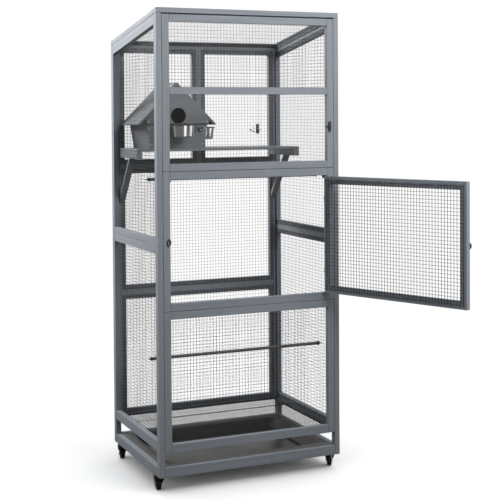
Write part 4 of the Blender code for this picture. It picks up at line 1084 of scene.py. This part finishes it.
# ------------------------------------------------------------------ cups
CUP_H = 0.0490
for tag, cx, cy, zt, ra, rb, yp in (("front", NEST_X + 0.0030, 0.2427, 1.3175, 0.0440, 0.0390, NEST_Y0 - GAP),
                                    ("back", 0.3625, 0.4620, 1.3050, 0.0400, 0.0350, YB - 0.0014)):
    zb = zt - CUP_H
    B = Builder(M_CUP)
    w = 0.0010
    prof = [(0.0, w), (rb - 0.0060, w), (rb - 0.0030, w + 0.0008), (rb - 0.0012, w + 0.0032), (rb - 0.0010, w + 0.0048), (ra - w - 0.0002, CUP_H - 0.0036), (ra - w, CUP_H - 0.0020),
            (ra - w * 0.4, CUP_H - 0.0004), (ra + 0.0006, CUP_H), (ra + 0.0022, CUP_H - 0.0001), (ra + 0.0029, CUP_H - 0.0008),
            (ra + 0.0024, CUP_H - 0.0014), (ra + 0.0008, CUP_H - 0.0014), (ra + 0.0001, CUP_H - 0.0020), (ra, CUP_H - 0.0034),
            (rb + 0.0002, 0.0050), (rb, 0.0032), (rb - 0.0014, 0.0008), (rb - 0.0036, 0.0), (0.0, 0.0)]
    lathe(B, prof, (cx, cy, zb), "z", 48, 0, 60.0)
    B.done("cup_%s_bowl" % tag, "cup_" + tag, ["cup_" + tag])
    # wire ring, the hooks behind it and the screw plate
    B = Builder(M_BLACK, M_ZINC)
    zq = zt - 0.0015 - GAP - 0.0016
    n = 48
    tube(B, [(cx + (ra + 0.0022) * math.cos(2 * math.pi * k / n), cy + (ra + 0.0022) * math.sin(2 * math.pi * k / n), zq) for k in range(n)],
         0.0015, 10, 0, True)
    for s in (-1, 1):
        pts = [(cx + s * 0.0090, cy + math.sqrt(max((ra + 0.0022) ** 2 - 0.0090 ** 2, 0)) - 0.0004, zq),
               (cx + s * 0.0086, yp - 0.0045, zq), (cx + s * 0.0084, yp - 0.0026, zq - 0.0016),
               (cx + s * 0.0084, yp - 0.0022, zq - 0.0040), (cx + s * 0.0084, yp - 0.0022, zq - 0.0260)]
        tube(B, pts, 0.0014, 8)
    bar(B, cx - 0.0110, cx + 0.0110, yp - 0.0012, yp - 0.0001, zt - 0.0320, zt - 0.0040, "z", r=0.0004, seg=1)
    screw(B, (cx, yp - 0.0012, zt - 0.0120), (0, -1, 0), 0.0030, 1)
    screw(B, (cx, yp - 0.0012, zt - 0.0250), (0, -1, 0), 0.0030, 1)
    B.done("cup_%s_ring" % tag, "cage", ["cup_holder_" + tag])

# ------------------------------------------------------------------ clear panels
PZ0, PZ1 = Z_D1_HI - 0.0040, Z_MID_LO + 0.0036
for nm, x0, x1, yc, body in (("clear_panel_left", XL + 0.0015, 0.4050, TRACK_F, "left_panel"),
                             ("clear_panel_right", 0.3890, XR - 0.0015, TRACK_R, "right_panel")):
    B = Builder(M_CLEAR)
    bar(B, x0, x1, yc - PANEL_T / 2, yc + PANEL_T / 2, PZ0, PZ1, "x", r=0.0003, seg=1)
    B.done(nm + "_sheet", body, [nm])


# ------------------------------------------------------------------ hardware
STOPS, STOP_Z0, STOP_Z1 = ((XL - 0.0040, XL + 0.0100), (XR - 0.0100, XR + 0.0040)), Z_D1_LO - 0.0110, Z_D1_LO + 0.0030


def carried(node, mat):
    """A CAD node whose shape is right keeps it and gets a finish."""
    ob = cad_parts[node]
    ob.data.materials.clear()
    ob.data.materials.append(mat)


for tag in ("upper", "lower"):
    carried("hinge_%s_post_leaf" % tag, M_DARKSTEEL)
    carried("hinge_%s_door_leaf" % tag, M_DARKSTEEL)
carried("latch_keeper", M_BLACK)

# the door's latch: a round knob plate, a cross grip and the upright tongue
LX, LZ = DOOR_X0 + 0.0135, 0.8995
B = Builder(M_KNOB, M_ZINC)
lathe(B, [(0.0, -GAP), (0.0115, -GAP), (0.0125, -0.0030), (0.0130, -0.0080), (0.0128, -0.0120), (0.0115, -0.0150), (0.0085, -0.0168), (0.0, -0.0174)],
      (LX, 0.0, LZ), "y", 32, 0)
bar(B, LX - 0.0094, LX + 0.0094, -0.0178, -0.0150, LZ - 0.0020, LZ + 0.0020, "x", r=0.0007)
solid(B, prism_bm([(LX - 0.0034, LZ - 0.0118), (LX + 0.0034, LZ - 0.0118), (LX + 0.0039, LZ), (LX + 0.0029, LZ + 0.0238),
                   (LX - 0.0029, LZ + 0.0238), (LX - 0.0039, LZ)], "y", -0.0084, -0.0061), 0.0006, "z", 0, 1)
B.done("door_latch_knob", "door_latch", ["door_latch"], DOOR)
carried("stile_latch", M_BLACK)

# the sheet's catch: a ribbed plate on the sheet, and a lever with a ball end
# and a thumb wire that turns on its pivot
PX, PZ = 0.3905, 1.3000
PY = TRACK_F - PANEL_T / 2 - GAP
B = Builder(M_BLACK, M_ZINC)
bar(B, 0.3851, 0.3967, PY - 0.0012, PY, 1.2832, 1.3180, "z", r=0.0004, seg=1)
for xa, xb in ((0.3851, 0.3887), (0.3922, 0.3967)):
    bar(B, xa, xb, PY - 0.0026, PY - 0.0012, 1.2836, 1.3176, "z", r=0.0005, seg=1)
for z in (1.2868, 1.3144):
    screw(B, (0.3904, PY - 0.0012, z), (0, -1, 0), 0.0014, 1)
B.done("panel_catch_plate", "left_panel")
B = Builder(M_BLACK, M_ZINC)
lathe(B, [(0.0, 0.0), (0.0045, 0.0), (0.0048, -0.0006), (0.0046, -0.0030), (0.0034, -0.0038), (0.0, -0.0040)], (PX, PY - 0.0027, PZ), "y", 20)
lathe(B, [(0.0, 0.0), (0.0016, 0.0), (0.0013, -0.0008), (0.0, -0.0010)], (PX, PY - 0.0067, PZ), "y", 14, 1)
yl = PY - 0.0048
tube(B, [(PX + 0.0100, yl, PZ - 0.0020), (PX, yl, PZ - 0.0060), (0.3860, yl, 1.2892), (0.3790, yl, 1.2886), (0.3700, yl, 1.2908), (0.3640, yl, 1.2945), (0.3604, yl, 1.2971)], 0.0013, 8)
tube(B, [(0.3744, yl, 1.2896), (0.3745, yl, 1.3000), (0.3743, yl, 1.3108)], 0.0009, 8)
ball = [(0.0031 * math.sin(math.pi * k / 8), -0.0031 * math.cos(math.pi * k / 8)) for k in range(9)]
ball[0], ball[-1] = (0.0, ball[0][1]), (0.0, ball[-1][1])
lathe(B, ball, (0.3604, yl, 1.2971), "z", 14, 0, 80.0)
B.done("panel_catch_lever", "panel_latch", ["panel_latch"])

# between the cups: an upright wire clip and a wing nut on its stud
B = Builder(M_BLACK, M_ZINC)
yn = NEST_Y0 - 0.0001
tube(B, [(0.2617, yn - 0.0002, 1.3238), (0.2617, yn - 0.0026, 1.3232), (0.2616, yn - 0.0030, 1.3040), (0.2615, yn - 0.0026, 1.2838), (0.2615, yn - 0.0002, 1.2830)], 0.0011, 8)
lathe(B, [(0.0, 0.0), (0.0088, 0.0), (0.0088, -0.0009), (0.0, -0.0010)], (0.2800, yn, 1.2950), "y", 20, 0)
lathe(B, [(0.0, 0.0), (0.0044, 0.0), (0.0038, -0.0050), (0.0, -0.0052)], (0.2800, yn - 0.0009, 1.2950), "y", 16, 0)
for t in (-1, 1):
    pts = [(0.2800 + t * 0.0030, 1.2938), (0.2800 + t * 0.0098, 1.2985), (0.2800 + t * 0.0106, 1.3060), (0.2800 + t * 0.0078, 1.3072), (0.2800 + t * 0.0028, 1.2990)]
    solid(B, prism_bm(pts, "y", yn - 0.0045, yn - 0.0028), 0.0004, "x", 0, 1)
lathe(B, [(0.0, 0.0), (0.0030, 0.0), (0.0027, -0.0030), (0.0016, -0.0040), (0.0, -0.0043)], (0.2800, yn - 0.0058, 1.2950), "y", 14, 1)
B.done("nest_fixing", "cage")

# moulded stops behind the top corners of the door opening
B = Builder(M_BLACK, M_ZINC)
for xa, xb in STOPS:
    bar(B, xa, xb, T + 0.0012, T + 0.0052, STOP_Z0, STOP_Z1, "x", r=0.0006, seg=1)
    screw(B, ((xa + xb) / 2, T + 0.0052, (STOP_Z0 + STOP_Z1) / 2), (0, 1, 0), 0.0020, 1)
B.done("door_stops", "cage")

# ------------------------------------------------------------------ casters
SWX, SWY, TRAIL, WR, WW = 0.0160, 0.0550, 0.0140, 0.0220, 0.0180
for tag, cx, cy, head in (("front_left", SWX, SWY, 82.0), ("front_right", W - SWX, SWY, 66.0),
                          ("back_left", SWX, D - SWY, 82.0), ("back_right", W - SWX, D - SWY, 80.0)):
    M = CAGE @ Matrix.Translation((cx, cy, 0.0)) @ Matrix.Rotation(math.radians(head), 4, 'Z')
    # skirt and swivel head: a pressed cup, slotted for the wheel
    B = Builder(M_FORK, M_CHEEK, M_ZINC)
    g = 0.0100
    seg = 40
    prof = [(0.0165, Z_BODY - 0.0004), (0.0190, Z_BODY - 0.0008), (0.0197, Z_BODY - 0.0020), (0.0197, 0.0500), (0.0196, 0.0455), (0.0184, 0.0405), (0.0160, 0.0355), (0.0138, 0.0310)]
    lathe(B, [(0.0, Z_BODY - 0.0004)] + prof[:4] + [(0.0186, 0.0480), (0.0, 0.0480)], (0, 0, 0), "z", seg, 0)
    for s2 in (-1, 1):
        bm = bmesh.new()
        rows = []
        for r, z in prof[3:]:
            a0 = math.asin(min(1.0, g / r))
            n = 14
            outer = [bm.verts.new((r * math.cos(a0 + (math.pi - 2 * a0) * k / n), s2 * r * math.sin(a0 + (math.pi - 2 * a0) * k / n), z)) for k in range(n + 1)]
            rows.append(outer)
        for a, b in zip(rows, rows[1:]):
            for k in range(len(a) - 1):
                bm.faces.new((a[k], a[k + 1], b[k + 1], b[k]))
        bm.faces.new(rows[-1])
        # flat inner wall of the slot
        for a, b in zip(rows, rows[1:]):
            bm.faces.new((a[0], b[0], b[-1], a[-1]))
        bm.faces.new(rows[0])
        bmesh.ops.recalc_face_normals(bm, faces=bm.faces)
        B.take(bm, 0, None, None, None, flat_rule(bm, 40.0))
        # bright cheek plate, rounded round the axle
        arc = [(TRAIL + 0.0086 * math.cos(math.radians(t)), WR + 0.0086 * math.sin(math.radians(t))) for t in range(20, -191, -15)]
        line = [(-0.0150, 0.0540), (0.0165, 0.0540), (0.0185, 0.0480)] + arc + [(-0.0135, 0.0430)]
        ya, yb = sorted((s2 * (g + 0.0004), s2 * (g + 0.0020)))
        solid(B, prism_bm(line, "y", ya, yb), 0.0004, "x", 1, 1)
        # raised rib and the riveted end of the axle
        lathe(B, [(0.0, 0.0), (0.0046, 0.0), (0.0044, s2 * 0.0008), (0.0034, s2 * 0.0012), (0.0, s2 * 0.0013)], (TRAIL, s2 * (g + 0.0019), WR), "y", 18, 2)
        tube(B, [(-0.0090, s2 * (g + 0.0019), 0.0470), (TRAIL - 0.0075, s2 * (g + 0.0019), 0.0300)], 0.0008, 8, 1)
    lathe(B, [(0.0, -g), (0.0028, -g), (0.0028, g), (0.0, g)], (TRAIL, 0, WR), "y", 14, 2)
    lathe(B, [(0.0, 0.0455), (0.0058, 0.0455), (0.0064, 0.0462), (0.0064, 0.0482), (0.0, 0.0482)], (0, 0, 0), "z", 18, 2)
    B.done("caster_fork_" + tag, "caster_" + tag, ["caster_%s_fork" % tag], M)
    # wheel: tread with two fine mould lines, a dished hub with five ribs
    B = Builder(M_TREAD, M_HUB)
    w = WW / 2
    lathe(B, [(0.0172, -w + 0.0012), (0.0196, -w + 0.0008), (0.0212, -w + 0.0022), (WR - 0.0001, -w + 0.0046), (WR, -0.0004), (WR - 0.0003, 0.0),
              (WR, 0.0004), (WR - 0.0001, w - 0.0046), (0.0212, w - 0.0022), (0.0196, w - 0.0008), (0.0172, w - 0.0012), (0.0165, w - 0.0030),
              (0.0165, -w + 0.0030), (0.0172, -w + 0.0012)], (TRAIL, 0, WR), "y", 48, 0, 50.0)
    lathe(B, [(0.0031, -w), (0.0062, -w), (0.0068, -w + 0.0026), (0.0150, -w + 0.0030), (0.0166, -w + 0.0016), (0.0166, w - 0.0016),
              (0.0150, w - 0.0030), (0.0068, w - 0.0026), (0.0062, w), (0.0031, w), (0.0031, -w)], (TRAIL, 0, WR), "y", 36, 1, 50.0)
    for k in range(5):
        a = 2 * math.pi * k / 5 + 0.3
        ca, sa = math.cos(a), math.sin(a)
        for s2 in (-1, 1):
            bm = box_bm((0.0060, s2 * (w - 0.0032) - 0.0006, -0.0009), (0.0155, s2 * (w - 0.0032) + 0.0012, 0.0009))
            bmesh.ops.transform(bm, matrix=Matrix.Translation((TRAIL, 0, WR)) @ Matrix(((ca, 0, -sa, 0), (0, 1, 0, 0), (sa, 0, ca, 0), (0, 0, 0, 1))), verts=bm.verts)
            solid(B, bm, 0.0002, "x", 1, 1)
    B.done("caster_wheel_" + tag, "wheel_" + tag, ["caster_%s_wheel" % tag], M)

# ------------------------------------------------------------------ studio
DOME, FLOOR_SEEN = 0.26, 4.00
DIM_SIDE, PALE_SIDE = 0.22, 1.0
FRONT_W, FILL_W, LEFT_W = 47.5, 7.0, 94.0
floor_me = bpy.data.meshes.new("studio_floor")
floor_me.from_pydata([(-6, -6, 0), (6, -6, 0), (6, 6, 0), (-6, 6, 0)], [], [(0, 1, 2, 3)])
floor = bpy.data.objects.new("studio_floor", floor_me)
bpy.context.scene.collection.objects.link(floor)
# the visible floor is pale; it throws back little of the light, as a matt
# sweep does once it is a few metres wide
m = bpy.data.materials.new("studio_white")
m.use_nodes = True
nt = m.node_tree
nt.nodes.remove(nt.nodes["Principled BSDF"])
seen = nt.nodes.new("ShaderNodeBsdfDiffuse")
seen.inputs["Color"].default_value = (FLOOR_SEEN, FLOOR_SEEN, FLOOR_SEEN, 1.0)
back = nt.nodes.new("ShaderNodeBsdfDiffuse")
back.inputs["Color"].default_value = (0.42, 0.42, 0.42, 1.0)
lp = nt.nodes.new("ShaderNodeLightPath")
pick = nt.nodes.new("ShaderNodeMixShader")
link(nt, lp.outputs["Is Camera Ray"], pick.inputs["Fac"])
link(nt, back.outputs["BSDF"], pick.inputs[1])
link(nt, seen.outputs["BSDF"], pick.inputs[2])
tc = nt.nodes.new("ShaderNodeTexCoord").outputs["Object"]
ln = nt.nodes.new("ShaderNodeVectorMath")
ln.operation = 'LENGTH'
link(nt, tc, ln.inputs[0])
fade = n_range(nt, ln.outputs["Value"], 1.3, 3.6, 0.0, 1.0)
tr = nt.nodes.new("ShaderNodeBsdfTransparent")
mx = nt.nodes.new("ShaderNodeMixShader")
link(nt, fade, mx.inputs["Fac"])
link(nt, pick.outputs["Shader"], mx.inputs[1])
link(nt, tr.outputs["BSDF"], mx.inputs[2])
link(nt, mx.outputs["Shader"], nt.nodes["Material Output"].inputs["Surface"])
floor_me.materials.append(m)

# a dim dome for the soft light, white where it is seen or mirrored
world = bpy.data.worlds.new("studio")
bpy.context.scene.world = world
world.use_nodes = True
wn = world.node_tree
bg = wn.nodes["Background"]
bg.inputs["Color"].default_value = (1.0, 1.0, 1.0, 1.0)
bg.inputs["Strength"].default_value = DOME
bg2 = wn.nodes.new("ShaderNodeBackground")
bg2.inputs["Color"].default_value = (1.0, 1.0, 1.0, 1.0)
bg2.inputs["Strength"].default_value = 1.02
# what polished and grazing faces mirror: a pale wall behind the cage, a dim
# room in front of it
bg3 = wn.nodes.new("ShaderNodeBackground")
bg3.inputs["Color"].default_value = (1.0, 1.0, 1.0, 1.0)
wd = wn.nodes.new("ShaderNodeTexCoord").outputs["Generated"]
ws = wn.nodes.new("ShaderNodeSeparateXYZ")
wn.links.new(wd, ws.inputs[0])
wn.links.new(n_range(wn, ws.outputs["Y"], 0.30, 0.80, DIM_SIDE, PALE_SIDE), bg3.inputs["Strength"])
lp = wn.nodes.new("ShaderNodeLightPath")
wg = wn.nodes.new("ShaderNodeMixShader")
wn.links.new(lp.outputs["Is Glossy Ray"], wg.inputs["Fac"])
wn.links.new(bg.outputs[0], wg.inputs[1])
wn.links.new(bg3.outputs[0], wg.inputs[2])
wm = wn.nodes.new("ShaderNodeMixShader")
wn.links.new(lp.outputs["Is Camera Ray"], wm.inputs["Fac"])
wn.links.new(wg.outputs[0], wm.inputs[1])
wn.links.new(bg2.outputs[0], wm.inputs[2])
wn.links.new(wm.outputs[0], wn.nodes["World Output"].inputs["Surface"])


def area(name, loc, target, size, size_y, power, flagged=True):
    l = bpy.data.lights.new(name, 'AREA')
    l.shape = 'RECTANGLE'
    l.size, l.size_y, l.energy = size, size_y, power
    l.color = (1.0, 1.0, 1.0)
    ob = bpy.data.objects.new(name, l)
    ob.location = loc
    ob.rotation_euler = (Vector(target) - Vector(loc)).to_track_quat('-Z', 'Y').to_euler()
    bpy.context.scene.collection.objects.link(ob)
    if flagged:
        ob.light_linking.receiver_collection = not_on_floor
    return ob


# the softboxes are flagged off the floor, which the dome and a fill light
not_on_floor = bpy.data.collections.new("flagged")
not_on_floor.objects.link(floor)
not_on_floor.collection_objects[0].light_linking.link_state = 'EXCLUDE'
area("front_softbox", (0.60, -2.00, 2.50), (0.0, 0.0, 1.55), 1.5, 0.9, FRONT_W)
area("front_fill", (0.80, -2.05, 2.60), (0.0, 0.0, 1.20), 1.5, 0.9, FILL_W, False)
area("left_softbox", (-1.95, 1.75, 2.40), (-0.45, 0.1, 1.45), 1.5, 0.9, LEFT_W)


def strip(name, azimuth, dist, width, height, z, watts):
    """A tall narrow softbox that only shows in polished metal."""
    a = math.radians(azimuth)
    ob = area(name, (-0.27 + dist * math.cos(a), 0.27 + dist * math.sin(a), z), (-0.27, 0.27, z - 0.1), width, height, watts)
    ob.visible_diffuse = False


strip("strip_front", 270.5, 2.4, 0.95, 1.9, 1.25, 11.0)
strip("strip_right", 338.0, 2.4, 1.15, 1.9, 1.25, 13.0)

# ------------------------------------------------------------------ camera
CX, CY, CZ = -1.3579 + OX, -3.8767 + OY, 1.3473
yaw, pitch, roll = (math.radians(a) for a in (-23.9003, -1.6411, 0.3732))
Rz = Matrix(((math.cos(yaw), -math.sin(yaw), 0), (math.sin(yaw), math.cos(yaw), 0), (0, 0, 1)))
Rx = Matrix(((1, 0, 0), (0, math.cos(pitch), -math.sin(pitch)), (0, math.sin(pitch), math.cos(pitch))))
Ry = Matrix(((math.cos(roll), 0, math.sin(roll)), (0, 1, 0), (-math.sin(roll), 0, math.cos(roll))))
R = Rz @ Rx @ Ry
right, fwd, upv = R.col[0], R.col[1], R.col[2]
mw = Matrix.Identity(4)
for i in range(3):
    mw[i][0], mw[i][1], mw[i][2] = right[i], upv[i], -fwd[i]
mw[0][3], mw[1][3], mw[2][3] = CX, CY, CZ
cam = bpy.data.cameras.new("camera")
cam.sensor_width = 36.0
cam.lens = 1162.23 / 500.0 * 36.0
cam.shift_x = -0.3806 / 500.0
cam.shift_y = -100.6586 / 500.0
cam.clip_end = 200.0
cam_ob = bpy.data.objects.new("camera", cam)
cam_ob.matrix_world = mw
bpy.context.scene.collection.objects.link(cam_ob)
bpy.context.scene.camera = cam_ob

bpy.context.scene.view_settings.view_transform = 'Standard'
bpy.context.scene.view_settings.look = 'None'
